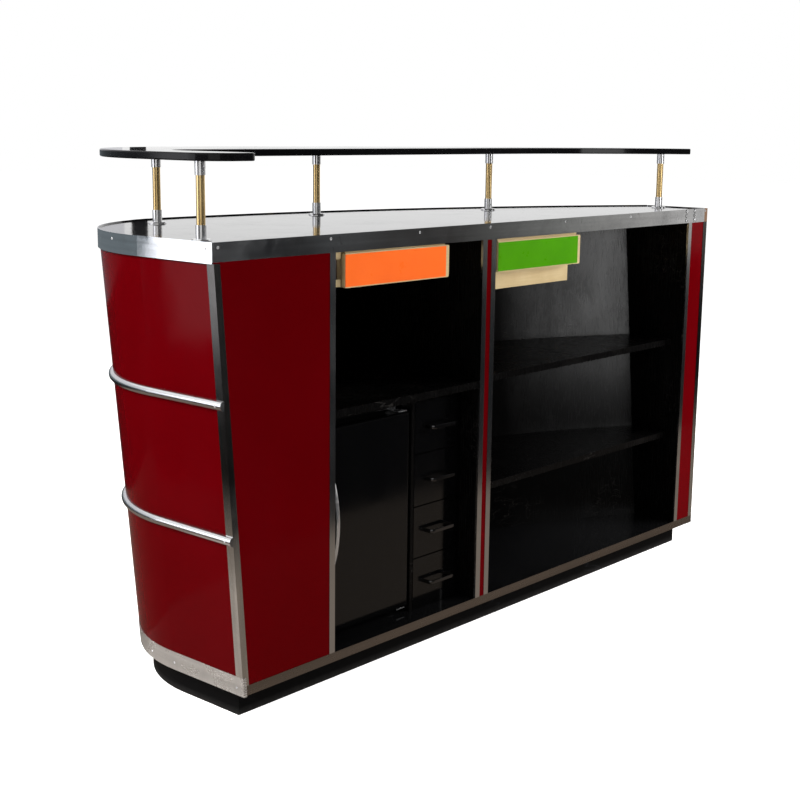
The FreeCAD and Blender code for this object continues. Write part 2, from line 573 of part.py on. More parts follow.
def bent_pull(x, y, z):
    """Flat strap bent to a U, lying across a drawer front at y."""
    half, crown = SMALL_PULL_SPAN / 2, y - SMALL_PULL_REACH
    z0, z1 = z - SMALL_PULL_WIDTH / 2, z + SMALL_PULL_WIDTH / 2
    outer = rounded_block(x - half, x + half, crown, y, z0, z1, SMALL_PULL_BEND)
    inner = rounded_block(x - half + SMALL_PULL_STRAP, x + half - SMALL_PULL_STRAP,
                          crown + SMALL_PULL_STRAP, y, z0, z1, SMALL_PULL_BEND - SMALL_PULL_STRAP)
    return outer.cut(inner).Solids[0]


def make_small_drawers(nodes, runners):
    x0, x1 = COLUMN_LEFT + GAP / 2, COLUMN_RIGHT - GAP / 2
    y_front = MODULE_SET_BACK
    y_box = y_front + SMALL_FRONT
    y_back = y_box + SMALL_DEPTH
    middle = (x0 + x1) / 2
    for i in range(DRAWER_COUNT):
        low = FLOOR_Z + i * DRAWER_PITCH + GAP / 2
        high = low + DRAWER_PITCH - GAP
        ledge_top = low + CLEAT * 0.75
        box_low, box_high = ledge_top + FIT, high - CLEAT / 2
        front = box(x0, x1, y_front, y_box, low, high)
        tray = box(x0 + FIT, x1 - FIT, y_box, y_back, box_low, box_high)
        well = box(x0 + FIT + SMALL_WALL, x1 - FIT - SMALL_WALL, y_box + SMALL_WALL,
                   y_back - SMALL_WALL, box_low + SMALL_WALL, box_high)
        number = DRAWER_COUNT - i
        nodes["column_drawer_%d" % number] = front.fuse(tray.cut(well)).removeSplitter().Solids[0]
        nodes["column_pull_%d" % number] = bent_pull(middle, y_front, (low + high) / 2)
        for left in (COLUMN_LEFT, COLUMN_RIGHT - DIVIDER):
            runners.append(box(left, left + DIVIDER, y_box + FIT, y_back, low + GAP, ledge_top))


# ---- drawers under the top -----------------------------------------------------------------------------
def drawer_front(x, drop, block):
    """Cream plate with rounded corners on a taller board, and the coloured face on it."""
    z1 = RIM_Z - drop
    z0 = z1 - FRONT_HEIGHT
    y0 = SHEET / 2
    plate = box(x, x + FRONT_WIDTH, y0, y0 + FRONT_PLATE, z0, z1)
    rounds = [edge for edge in plate.Edges if abs(edge.BoundBox.YLength - FRONT_PLATE) < SHEET / 2]
    plate = plate.makeFillet(FRONT_ROUND, rounds)
    behind = y0 + FRONT_PLATE
    board = box(x + BLOCK_SET, x + FRONT_WIDTH - BLOCK_SET, behind, behind + block, z0,
                BAND_FACE_Z - SHEET)
    front = plate.fuse(board).removeSplitter().Solids[0]
    left = x + (FRONT_WIDTH - FACE_WIDTH) * 0.1
    low = z0 + (FRONT_HEIGHT - FACE_HEIGHT) / 2
    face = box(left, left + FACE_WIDTH, y0 - LAMINATE, y0, low, low + FACE_HEIGHT)
    return front, face, behind + block


def drawer_box(x, y, z0):
    outer = box(x, x + FRONT_WIDTH, y, y + BOX_DEPTH, z0, BOX_HIGH)
    well = box(x + BOX_WALL, x + FRONT_WIDTH - BOX_WALL, y + BOX_WALL, y + BOX_DEPTH - BOX_WALL,
               z0 + BOX_WALL, BOX_HIGH)
    return outer.cut(well)


def flange_bar(x0, x1, y):
    return box(x0, x1, y, y + BOX_DEPTH, BOX_HIGH - FLANGE_THICK, BOX_HIGH)


def hanger(side, y):
    """L rail fixed under the top: it carries the flange on the right side of a drawer."""
    web_x = side + FLANGE + SHEET
    web = box(web_x, web_x + HANGER_WEB, y, y + BOX_DEPTH, BOX_HIGH - 2 * FLANGE_THICK, TOP_UNDER_Z)
    lip = box(side + SHEET, web_x, y, y + BOX_DEPTH, BOX_HIGH - 2 * FLANGE_THICK,
              BOX_HIGH - FLANGE_THICK - FIT)
    return web.fuse(lip).removeSplitter().Solids[0]


def make_top_drawers(nodes, runners):
    front, face, y_box = drawer_front(LEFT_FRONT_X, LEFT_FRONT_DROP, LEFT_BLOCK)
    nodes["left_drawer_front"], nodes["left_drawer_face"] = front, face
    right_side = LEFT_FRONT_X + FRONT_WIDTH
    tray = drawer_box(LEFT_FRONT_X, y_box, LEFT_BOX_LOW)
    flange = flange_bar(right_side, right_side + FLANGE, y_box)
    nodes["left_drawer_box"] = tray.fuse(flange).removeSplitter().Solids[0]
    tongue_x = BAY_LEFT + FLANGE
    nodes["left_drawer_tongue"] = box(tongue_x, LEFT_FRONT_X, y_box, y_box + BOX_DEPTH,
                                      TONGUE_LOW, TONGUE_HIGH)
    runners.append(hanger(right_side, y_box))
    guide_x1 = LEFT_FRONT_X - GAP + SHEET
    guide_y = SHEET / 2 + FRONT_PLATE + GAP
    guides = [box(BAY_LEFT, guide_x1, guide_y, y_box + BOX_DEPTH, LEFT_BOX_LOW, TONGUE_LOW - FIT),
              box(BAY_LEFT, guide_x1, guide_y, y_box + BOX_DEPTH, TONGUE_HIGH + FIT, TOP_UNDER_Z)]
    nodes["left_drawer_guides"] = Part.makeCompound(guides)

    front, face, y_box = drawer_front(RIGHT_FRONT_X, RIGHT_FRONT_DROP, RIGHT_BLOCK)
    nodes["right_drawer_front"], nodes["right_drawer_face"] = front, face
    right_side = RIGHT_FRONT_X + FRONT_WIDTH
    tray = drawer_box(RIGHT_FRONT_X, y_box, RIGHT_BOX_LOW)
    flanges = [flange_bar(right_side, right_side + FLANGE, y_box),
               flange_bar(RIGHT_BAY_START + SHEET, RIGHT_FRONT_X, y_box)]
    nodes["right_drawer_box"] = tray.fuse(flanges).removeSplitter().Solids[0]
    runners.append(hanger(right_side, y_box))
    ledge_z = BOX_HIGH - FLANGE_THICK - FIT
    runners.append(box(RIGHT_BAY_START, RIGHT_FRONT_X - SHEET, y_box, y_box + BOX_DEPTH,
                       ledge_z - CLEAT, ledge_z))


# ---- raised shelf ----------------------------------------------------------------------------------------
def post_positions():
    angle = math.radians(180.0 - END_POST_ANGLE)
    reach = END_RADIUS - POST_INSET
    round_post = (END_CENTRE.x + reach * math.cos(angle), END_CENTRE.y + reach * math.sin(angle))
    xs = FRONT_POST_XS + (LENGTH - LAST_POST_SET,)
    front_posts = [on_plan(POST_INSET, x) for x in xs]
    return [NEAR_POST, round_post] + front_posts


def raised_hollow(z0, z1):
    """What the raised shelf leaves open: inside the strip the run's edge is straight from the
    bend past the belly, and from its middle an arc carries it on to the right end."""
    stations = ((RAISED_BELLY_WIDTH, BELLY_X), (RAISED_MIDDLE_WIDTH, RAISED_MIDDLE_X),
                (RAISED_RIGHT_WIDTH, LENGTH - RAISED_SET))
    belly, middle, right = [V(*on_plan(RAISED_SET + width, x), z0) for width, x in stations]
    along = (middle - belly).normalize()
    bend = belly + along * ((RAISED_SET + RAISED_LEFT_WIDTH - belly.x) / along.x)
    across = V(along.y, -along.x, 0)
    chord = right - middle
    radius = chord.Length ** 2 / (2 * chord.dot(across))
    centre = middle + across * radius
    halfway = centre + ((right - centre) + (middle - centre)).normalize() * radius
    corners = [right, V(LENGTH, right.y, z0), V(LENGTH, -FAR, z0), V(bend.x, -FAR, z0), bend, middle]
    edges = [Part.makeLine(start, end) for start, end in zip(corners, corners[1:])]
    edges.append(Part.Arc(middle, halfway, right).toShape())
    hollow = positive(Part.Face(Part.Wire(edges)).extrude(V(0, 0, z1 - z0)))
    return hollow.makeFillet(RAISED_BEND, upright_edges(hollow, bend))


def upright_edges(solid, point):
    """The upright edges of a solid at one point of its plan."""
    return [edge for edge in solid.Edges
            if abs(edge.CenterOfMass.x - point.x) < SHEET and abs(edge.CenterOfMass.y - point.y) < SHEET
            and edge.BoundBox.XLength + edge.BoundBox.YLength < SHEET]


def make_raised_shelf(nodes):
    z0, z1 = RAISED_Z, RAISED_Z + RAISED_THICK
    right = LENGTH - RAISED_SET
    blank = plan_core(RAISED_SET, z0, z1).common(box(0, right, RAISED_SET, DEPTH, z0, z1))
    board = blank.cut(raised_hollow(z0, z1)).Solids[0]
    corners = ((RAISED_NEAR_CORNER, (RAISED_SET, RAISED_SET)),
               (RAISED_TIP_CORNER, (RAISED_SET + RAISED_LEFT_WIDTH, RAISED_SET)),
               (RAISED_FAR_CORNER, on_plan(RAISED_SET, right)),
               (RAISED_END_CORNER, on_plan(RAISED_SET + RAISED_RIGHT_WIDTH, right)))
    for radius, corner in corners:
        board = board.makeFillet(radius, upright_edges(board, V(*corner, 0)))
    rim = [edge for edge in board.Edges if edge.BoundBox.ZLength < SHEET / 10]
    nodes["raised_shelf"] = board.makeChamfer(RAISED_EDGE, rim).Solids[0]
    step = SURFACE_Z + FLANGE_HEIGHT
    lower = [(POST_BAR, SURFACE_Z), (POST_FLANGE, SURFACE_Z), (POST_FLANGE, step - FLANGE_SLOPE),
             (POST_FLANGE - FLANGE_SLOPE, step), (POST_SOCKET, step),
             (POST_SOCKET, SURFACE_Z + LOWER_SOCKET), (POST_BAR, SURFACE_Z + LOWER_SOCKET)]
    upper = [(POST_BAR, z0), (POST_SOCKET, z0), (POST_SOCKET, z0 - UPPER_SOCKET),
             (POST_BAR, z0 - UPPER_SOCKET)]
    posts = post_positions()
    nodes["post_sockets"] = Part.makeCompound(
        [turned(profile, x, y) for x, y in posts for profile in (lower, upper)])
    nodes["post_bars"] = Part.makeCompound(
        [Part.makeCylinder(POST_BAR, RAISED_UNDERSIDE, V(x, y, SURFACE_Z)) for x, y in posts])


def build():
    nodes, runners = {}, []
    make_plinth(nodes)
    make_carcass(nodes)
    make_studs(nodes)
    make_panels(nodes)
    make_trims(nodes)
    make_skins(nodes)
    make_bands(nodes)
    make_bay_shelves(nodes)
    make_module(nodes)
    make_cooler_door(nodes)
    make_small_drawers(nodes, runners)
    make_top_drawers(nodes, runners)
    nodes["drawer_runners"] = Part.makeCompound(runners)
    make_raised_shelf(nodes)
    return nodes


def main():
    nodes = build()
    whole = FreeCAD.BoundBox()
    for shape in nodes.values():
        whole.add(shape.optimalBoundingBox(False, False))
    shift = V(-whole.Center.x, -whole.Center.y, -whole.ZMin)
    os.makedirs("parts", exist_ok=True)
    for name, shape in nodes.items():
        shape.translated(shift).exportStep("parts/%s.step" % name)
    print("%d nodes, box %.2f x %.2f x %.2f, shift %.3f %.3f %.3f" % (
        len(nodes), whole.XLength, whole.YLength, whole.ZLength, shift.x, shift.y, shift.z))


main()
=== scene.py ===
"""Looks of the bar counter: finishes, round rails, screws, cooler fittings, light and camera."""

import math

import bmesh
import bpy
from mathutils import Matrix, Vector


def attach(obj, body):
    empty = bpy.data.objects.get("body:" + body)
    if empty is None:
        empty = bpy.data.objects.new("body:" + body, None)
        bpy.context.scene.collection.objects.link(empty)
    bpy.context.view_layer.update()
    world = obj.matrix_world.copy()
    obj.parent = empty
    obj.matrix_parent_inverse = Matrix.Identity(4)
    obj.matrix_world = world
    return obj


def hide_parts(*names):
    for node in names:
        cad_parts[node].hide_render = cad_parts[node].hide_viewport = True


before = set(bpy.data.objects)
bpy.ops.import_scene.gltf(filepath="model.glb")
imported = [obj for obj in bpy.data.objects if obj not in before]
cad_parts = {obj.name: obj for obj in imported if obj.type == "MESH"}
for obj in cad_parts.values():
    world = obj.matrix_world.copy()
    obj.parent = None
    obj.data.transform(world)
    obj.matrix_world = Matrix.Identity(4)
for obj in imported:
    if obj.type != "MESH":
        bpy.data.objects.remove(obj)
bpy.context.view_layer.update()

# ---- sizes, in millimetres of the part's own drawing ---------------------------------------------
LENGTH = 1995.0
DEPTH = 668.0
END_RADIUS = 425.0
RIGHT_DEPTH = 218.5
BELLY_X = 430.0
ORIGIN = (997.5, 333.5, 0.0)
RIM_Z = 1068.0
BODY_HEIGHT = 1000.0
LEAN = 72.5
SKIN_SET_BACK = 2.0
RAIL_RADIUS = 11.0
RAIL_HEIGHTS = {"rail_upper": 726.0, "rail_lower": 427.0}
BULGE = DEPTH - RIGHT_DEPTH
FRONT_RADIUS = ((LENGTH - BELLY_X) ** 2 + BULGE ** 2) / (2 * BULGE)
FRONT_CENTRE = (BELLY_X, DEPTH - FRONT_RADIUS)
END_CENTRE = (END_RADIUS, FRONT_CENTRE[1] + math.sqrt(
    (FRONT_RADIUS - END_RADIUS) ** 2 - (BELLY_X - END_RADIUS) ** 2))
JOIN = math.atan2(END_CENTRE[1] - FRONT_CENTRE[1], END_CENTRE[0] - FRONT_CENTRE[0])
ARCS = {"end": (END_CENTRE, END_RADIUS), "front": (FRONT_CENTRE, FRONT_RADIUS)}


def row(x, y, z):
    """A point of the drawing in the row frame, in metres."""
    return Vector(((x - ORIGIN[0]) / 1000, (y - ORIGIN[1]) / 1000, z / 1000))


def skin_inset(z):
    """How far the leaning skin stands in from the rim at one height."""
    return SKIN_SET_BACK + LEAN * (RIM_Z - z) / BODY_HEIGHT


def even_turns(start, stop, step):
    """Angles from start to stop in even steps of at most so many degrees."""
    count = max(2, math.ceil(abs(stop - start) / math.radians(step)))
    return [start + (stop - start) * i / count for i in range(count + 1)]


def plan_stations(y_start, x_end, end_step, front_step):
    """Places along the plan line: ("line", y) on the straight, then ("end" or "front", angle)."""
    stop = math.acos((x_end - FRONT_CENTRE[0]) / FRONT_RADIUS)
    stations = [("line", y_start), ("line", END_CENTRE[1])]
    stations += [("end", turn) for turn in even_turns(math.pi, JOIN, end_step)[1:]]
    stations += [("front", turn) for turn in even_turns(JOIN, stop, front_step)[1:]]
    return stations


def on_plan(station, inset, x_end=None):
    """(x, y) of a station at one inset; with x_end, the point of its arc at that x."""
    kind, value = station
    if kind == "line":
        return (inset, value)
    centre, radius = ARCS[kind]
    reach = radius - inset
    if x_end is not None:
        return (x_end, centre[1] + math.sqrt(reach ** 2 - (x_end - centre[0]) ** 2))
    return (centre[0] + reach * math.cos(value), centre[1] + reach * math.sin(value))


def outward(station):
    """The direction out of the plan at a station."""
    kind, value = station
    if kind == "line":
        return Vector((-1, 0, 0))
    return Vector((math.cos(value), math.sin(value), 0))


# ---- mesh helpers --------------------------------------------------------------------------------
def piece(name, bm, body, finish, smooth=40):
    """Make an object of a mesh, smooth it up to an angle, and let it ride on a body."""
    mesh = bpy.data.meshes.new(name)
    bm.normal_update()
    bm.to_mesh(mesh)
    bm.free()
    obj = bpy.data.objects.new(name, mesh)
    bpy.context.scene.collection.objects.link(obj)
    mesh.materials.append(FINISHES[finish])
    mesh.shade_smooth()
    mesh.set_sharp_from_angle(angle=math.radians(smooth))
    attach(obj, body)
    return obj


def join_rings(bm, rings, turned_over=False):
    """Faces between neighbouring rings of equally many points."""
    for a, b in zip(rings, rings[1:]):
        for i in range(len(a)):
            j = (i + 1) % len(a)
            bm.faces.new((a[i], a[j], b[j], b[i]) if turned_over else (a[i], b[i], b[j], a[j]))


def lofted(bm, rings):
    """Skin a row of rings and close both ends."""
    join_rings(bm, rings)
    bm.faces.new(rings[0])
    bm.faces.new(list(reversed(rings[-1])))
    bmesh.ops.recalc_face_normals(bm, faces=bm.faces)


def pocket(bm, rings):
    """Skin a row of rings that goes inward and close the last one."""
    join_rings(bm, rings, turned_over=True)
    bm.faces.new(rings[-1])


def swept(bm, profile, stations, x_end):
    """Carry a closed (inset, z) profile along plan stations, the last of them held to x_end."""
    rings = []
    for i, station in enumerate(stations):
        held = x_end if i == len(stations) - 1 else None
        rings.append([bm.verts.new(row(*on_plan(station, inset, held), z)) for inset, z in profile])
    lofted(bm, rings)


def circle(bm, matrix, radius, height, steps):
    """A ring of points round the local Z axis."""
    ring = []
    for i in range(steps):
        turn = 2 * math.pi * i / steps
        ring.append(bm.verts.new(matrix @ Vector((radius * math.cos(turn), radius * math.sin(turn), height))))
    return ring


def rod(bm, start, end, radius, steps=10):
    """A straight round rod with flat ends."""
    along = (end - start).normalized()
    side = along.orthogonal().normalized()
    other = along.cross(side)
    rings = []
    for point in (start, end):
        ring = []
        for i in range(steps):
            turn = 2 * math.pi * i / steps
            ring.append(bm.verts.new(point + radius * (math.cos(turn) * side + math.sin(turn) * other)))
        rings.append(ring)
    join_rings(bm, rings, turned_over=True)
    bm.faces.new(list(reversed(rings[0])))
    bm.faces.new(rings[-1])


def block(bm, x0, x1, y0, y1, z0, z1):
    """A box between pairs of x, y and z."""
    corners = [bm.verts.new((x, y, z)) for x in (x0, x1) for y in (y0, y1) for z in (z0, z1)]
    for face in ((0, 1, 3, 2), (4, 6, 7, 5), (0, 4, 5, 1), (2, 3, 7, 6), (0, 2, 6, 4), (1, 5, 7, 3)):
        bm.faces.new([corners[i] for i in face])


def facing(point, normal, turn=0.0):
    """A matrix that puts local Z along a normal, at a point."""
    z = Vector(normal).normalized()
    x = z.orthogonal().normalized()
    y = z.cross(x)
    base = Matrix((x, y, z)).transposed().to_4x4()
    return Matrix.Translation(point) @ base @ Matrix.Rotation(turn, 4, "Z")


# Shares of a screw head's radius, and the number of points round it.
SLOT_HALF, ARM = 0.20, 0.62
DOME, RIM_RISE = 0.42, 0.05
FOOT_WIDE, FOOT_DEEP = 1.06, 0.15
RECESS_TAPER, RECESS_DEEP = 0.8, 0.1
HEAD_STEPS = 16


def screw(bm, point, normal, radius, turn):
    """A raised countersunk head with a cross recess."""
    matrix = facing(point, normal, turn)
    slot, arm = SLOT_HALF * radius, ARM * radius
    cross = [(arm, -slot), (arm, slot), (slot, slot), (slot, arm), (-slot, arm), (-slot, slot),
             (-arm, slot), (-arm, -slot), (-slot, -slot), (-slot, -arm), (slot, -arm), (slot, -slot)]

    def dome(x, y):
        return DOME * radius * (1 - (x * x + y * y) / (radius * radius)) + RIM_RISE * radius

    rim = circle(bm, matrix, radius, dome(radius, 0), HEAD_STEPS)
    foot = circle(bm, matrix, FOOT_WIDE * radius, -FOOT_DEEP * radius, HEAD_STEPS)
    mouth = [bm.verts.new(matrix @ Vector((x, y, dome(x, y)))) for x, y in cross]
    bottom = [bm.verts.new(matrix @ Vector((RECESS_TAPER * x, RECESS_TAPER * y, -RECESS_DEEP * radius)))
              for x, y in cross]
    edges = []
    for ring in (rim, mouth):
        edges += [bm.edges.new((ring[i], ring[(i + 1) % len(ring)])) for i in range(len(ring))]
    filled = bmesh.ops.triangle_fill(bm, edges=edges, use_beauty=True)
    inner = set(mouth)
    for face in [f for f in filled["geom"] if isinstance(f, bmesh.types.BMFace)]:
        if all(v in inner for v in face.verts):
            bm.faces.remove(face)
    join_rings(bm, [rim, foot])
    pocket(bm, [mouth, bottom])


# ---- finishes ------------------------------------------------------------------------------------
MIX_A, MIX_B, MIX_RESULT = 6, 7, 2      # places of the colour sockets on a Mix node


class Finish:
    """A Principled material and short calls for the nodes that feed it. Textures are in metres."""

    def __init__(self, name, **constants):
        self.material = bpy.data.materials.new(name)
        self.material.use_nodes = True
        self.nodes = self.material.node_tree.nodes
        self.links = self.material.node_tree.links
        self.shader = self.nodes["Principled BSDF"]
        self.place = self.nodes.new("ShaderNodeTexCoord").outputs["Object"]
        for key, value in constants.items():
            self.shader.inputs[key.replace("_", " ")].default_value = value

    def feed(self, socket, value):
        if isinstance(value, bpy.types.NodeSocket):
            self.links.new(value, socket)
        else:
            socket.default_value = value

    def stretched(self, stretch, turn=(0, 0, 0)):
        node = self.nodes.new("ShaderNodeMapping")
        node.inputs["Scale"].default_value = stretch
        node.inputs["Rotation"].default_value = turn
        self.links.new(self.place, node.inputs["Vector"])
        return node.outputs["Vector"]

    def noise(self, scale, stretch=(1, 1, 1), detail=4.0, rough=0.55, warp=0.0, turn=(0, 0, 0)):
        node = self.nodes.new("ShaderNodeTexNoise")
        node.inputs["Scale"].default_value = scale
        node.inputs["Detail"].default_value = detail
        node.inputs["Roughness"].default_value = rough
        node.inputs["Distortion"].default_value = warp
        self.links.new(self.stretched(stretch, turn), node.inputs["Vector"])
        return node.outputs["Fac"]

    def cells(self, scale, stretch=(1, 1, 1)):
        node = self.nodes.new("ShaderNodeTexVoronoi")
        node.inputs["Scale"].default_value = scale
        self.links.new(self.stretched(stretch), node.inputs["Vector"])
        return node.outputs["Distance"]

    def remap(self, value, low, high, to_low=0.0, to_high=1.0):
        node = self.nodes.new("ShaderNodeMapRange")
        self.feed(node.inputs["Value"], value)
        for key, number in (("From Min", low), ("From Max", high), ("To Min", to_low), ("To Max", to_high)):
            node.inputs[key].default_value = number
        return node.outputs["Result"]

    def math(self, operation, a, b=0.0):
        node = self.nodes.new("ShaderNodeMath")
        node.operation = operation
        self.feed(node.inputs[0], a)
        self.feed(node.inputs[1], b)
        return node.outputs[0]

    def plus(self, a, b):
        return self.math("ADD", a, b)

    def times(self, a, b):
        return self.math("MULTIPLY", a, b)

    def blend(self, share, a, b):
        """Mix two colours, each a socket or three numbers."""
        node = self.nodes.new("ShaderNodeMix")
        node.data_type = "RGBA"
        self.feed(node.inputs["Factor"], share)
        for socket, colour in ((node.inputs[MIX_A], a), (node.inputs[MIX_B], b)):
            self.feed(socket, colour if isinstance(colour, bpy.types.NodeSocket) else (*colour, 1.0))
        return node.outputs[MIX_RESULT]

    def ramp(self, share, stops):
        node = self.nodes.new("ShaderNodeValToRGB")
        fill_ramp(node.color_ramp.elements, stops)
        self.links.new(share, node.inputs["Fac"])
        return node.outputs["Color"]

    def axis(self, name):
        node = self.nodes.new("ShaderNodeSeparateXYZ")
        self.links.new(self.place, node.inputs[0])
        return node.outputs[name]

    def scratches(self, scale, stretch, turn, width, share):
        """Thin lines where a stretched noise crosses its middle, kept to patches."""
        field = self.noise(scale, stretch, 2.0, 0.5, 0.6, turn)
        line = self.remap(self.math("ABSOLUTE", self.math("SUBTRACT", field, 0.5)), 0.0, width, 1.0, 0.0)
        patch = self.remap(self.noise(scale * 0.11, detail=2.0), 1.0 - share, 1.0 - share + 0.08)
        return self.times(line, patch)

    def bump(self, *layers):
        """Layers of (height, depth in metres), each on top of the one before."""
        normal = None
        for height, depth in layers:
            node = self.nodes.new("ShaderNodeBump")
            node.inputs["Distance"].default_value = depth
            node.inputs["Strength"].default_value = 1.0
            self.links.new(height, node.inputs["Height"])
            if normal is not None:
                self.links.new(normal, node.inputs["Normal"])
            normal = node.outputs["Normal"]
        self.links.new(normal, self.shader.inputs["Normal"])

    def colour(self, value):
        self.feed(self.shader.inputs["Base Color"], value)

    def rough(self, value):
        self.feed(self.shader.inputs["Roughness"], value)


def fill_ramp(points, stops):
    """Give a colour ramp its stops of (place, colour)."""
    while len(points) < len(stops):
        points.new(0.5)
    for point, (where, colour) in zip(points, stops):
        point.position = where
        point.color = (*colour, 1.0)


def toned(colour, share):
    """A colour made darker or brighter."""
    return tuple(min(1.0, share * c) for c in colour)


def gloss_laminate(name, deep, bright, specular):
    """High-gloss faced sheet: slow colour drift, faint ripple, hairlines and wiped smears."""
    f = Finish(name, Specular_IOR_Level=specular)
    f.colour(f.blend(f.remap(f.noise(2.2, detail=3.0), 0.3, 0.7), deep, bright))
    smear = f.remap(f.noise(7.0, (1, 1, 0.35), 6.0, 0.6, 0.8), 0.45, 0.75, 0.0, 0.06)
    hair = f.scratches(60, (1, 1, 0.12), (0.5, 0.3, 0.2), 0.006, 0.5)
    f.rough(f.plus(f.plus(smear, 0.055), f.times(hair, 0.18)))
    f.bump((f.noise(16.0, detail=1.0), 0.00009), (f.noise(700.0, detail=1.0), 0.0000025),
           (hair, -0.000004))
    return f.material


def red_laminate():
    """Deep red gloss sheet: a little dust, orange-peel ripple, hairlines and wiped smears."""
    f = Finish("finish_red_laminate", Specular_IOR_Level=0.035)
    drift = f.remap(f.noise(1.7, detail=3.0), 0.3, 0.7)
    base = f.blend(drift, (0.076, 0.00006, 0.0010), (0.096, 0.00010, 0.0016))
    dust = f.remap(f.noise(160.0, detail=8.0, rough=0.75), 0.70, 0.82, 0.0, 0.04)
    f.colour(f.blend(dust, base, (0.12, 0.006, 0.007)))
    smear = f.remap(f.noise(5.0, (1, 1, 0.3), 5.0, 0.6, 0.9), 0.42, 0.78, 0.0, 0.09)
    hair = f.scratches(50, (1, 1, 0.10), (0.4, 0.2, 0.3), 0.006, 0.46)
    f.rough(f.plus(f.plus(smear, 0.07), f.times(hair, 0.2)))
    f.bump((f.noise(11.0, detail=1.0), 0.00030), (f.noise(420.0, detail=2.0), 0.000004),
           (hair, -0.000005))
    return f.material


def black_board(name):
    """Satin black faced board with a fine upright grain, rubs and pale scuffs."""
    f = Finish(name, Specular_IOR_Level=0.08)
    grain = f.noise(300.0, (1, 1, 0.05), 5.0, 0.65)
    rubs = f.remap(f.noise(9.0, (1, 1, 0.5), 7.0, 0.7, 0.5), 0.50, 0.72)
    scuff = f.times(f.scratches(34, (0.25, 1, 1), (0.1, 0.7, 0.4), 0.012, 0.44), 0.6)
    base = f.blend(grain, (0.0012, 0.0011, 0.0011), (0.0030, 0.0028, 0.0028))
    rubbed = f.blend(f.times(rubs, 0.5), base, (0.0060, 0.0056, 0.0054))
    f.colour(f.blend(scuff, rubbed, (0.030, 0.028, 0.026)))
    f.rough(f.plus(f.remap(grain, 0.3, 0.7, 0.21, 0.30), f.times(rubs, 0.08)))
    f.bump((grain, 0.00002), (rubs, 0.00002), (scuff, -0.00003))
    return f


def lining_board():
    """The same board behind the shelves, with a painted sheen: its shine is set to rise to the right and with
    height, in patches.
    """
    f = black_board("finish_lining_board")
    # Painted sheen: the shine is made to grow to the right and with height, standing in for a lamp's
    # reflection.
    painted_sheen_right = f.remap(f.axis("X"), 0.48, 0.82, 0.02, 0.62)
    height = f.remap(f.axis("Z"), 0.30, 0.66, 0.15, 1.0)
    patchy = f.remap(f.noise(6.0, (1, 1, 0.6), 6.0, 0.65, 0.5), 0.35, 0.65, 0.75, 1.15)
    f.feed(f.shader.inputs["Specular IOR Level"], f.times(f.times(painted_sheen_right, height), patchy))
    return f.material


def plinth_board():
    """Flat black faced board near the floor: kicked, dusty along its foot."""
    f = Finish("finish_plinth_black", Specular_IOR_Level=0.06)
    grain = f.noise(240.0, (0.06, 0.06, 1), 5.0, 0.6)
    kicks = f.scratches(22, (0.3, 0.3, 1), (0.2, 0.4, 0.1), 0.02, 0.42)
    foot = f.remap(f.axis("Z"), 0.0, 0.018, 0.35, 0.0)
    dust = f.times(foot, f.noise(90.0, detail=7.0, rough=0.7))
    base = f.blend(grain, (0.0016, 0.0016, 0.0018), (0.0036, 0.0036, 0.0039))
    kicked = f.blend(f.times(kicks, 0.5), base, (0.04, 0.042, 0.05))
    f.colour(f.blend(dust, kicked, (0.11, 0.105, 0.10)))
    f.rough(f.remap(grain, 0.3, 0.7, 0.50, 0.66))
    f.bump((grain, 0.00004), (kicks, -0.00005))
    return f.material


def chipboard():
    """Bare chipboard: flakes of several tones pressed flat."""
    f = Finish("finish_raw_board", Specular_IOR_Level=0.25)
    flakes = f.cells(160.0, (1, 1, 2.6))
    chips = f.noise(70.0, (1, 0.6, 2.0), 6.0, 0.7, 1.2)
    tone = f.ramp(chips, [(0.25, (0.24, 0.16, 0.085)), (0.45, (0.40, 0.29, 0.17)),
                          (0.6, (0.50, 0.38, 0.24)), (0.8, (0.33, 0.22, 0.12))])
    f.colour(f.blend(f.remap(flakes, 0.0, 0.7, 0.35, 0.0), tone, (0.16, 0.10, 0.05)))
    f.rough(f.remap(chips, 0.3, 0.7, 0.62, 0.80))
    f.bump((flakes, 0.00012), (chips, 0.00008))
    return f.material


def polished_chrome(name, deep=(0.66, 0.66, 0.67), bright=(0.80, 0.80, 0.81), metallic=1.0):
    """Bright chrome with a wiped haze, slow tarnish and a few hairlines."""
    f = Finish(name, Metallic=metallic)
    haze = f.noise(14.0, (1, 1, 0.5), 5.0, 0.6)
    tarnish = f.remap(f.noise(5.0, detail=4.0, rough=0.6), 0.50, 0.75, 0.0, 0.45)
    hair = f.scratches(70, (1, 1, 0.2), (0.3, 0.2, 0.5), 0.008, 0.44)
    f.colour(f.blend(tarnish, f.blend(haze, deep, bright), toned(deep, 0.6)))
    f.rough(f.plus(f.remap(haze, 0.3, 0.75, 0.13, 0.20), f.times(hair, 0.05)))
    f.bump((f.noise(8.0, detail=1.0), 0.00004), (hair, -0.000002))
    return f.material


STREAKS = {"level": (0.02, 0.02, 1.0), "upright": (1.0, 1.0, 0.015)}


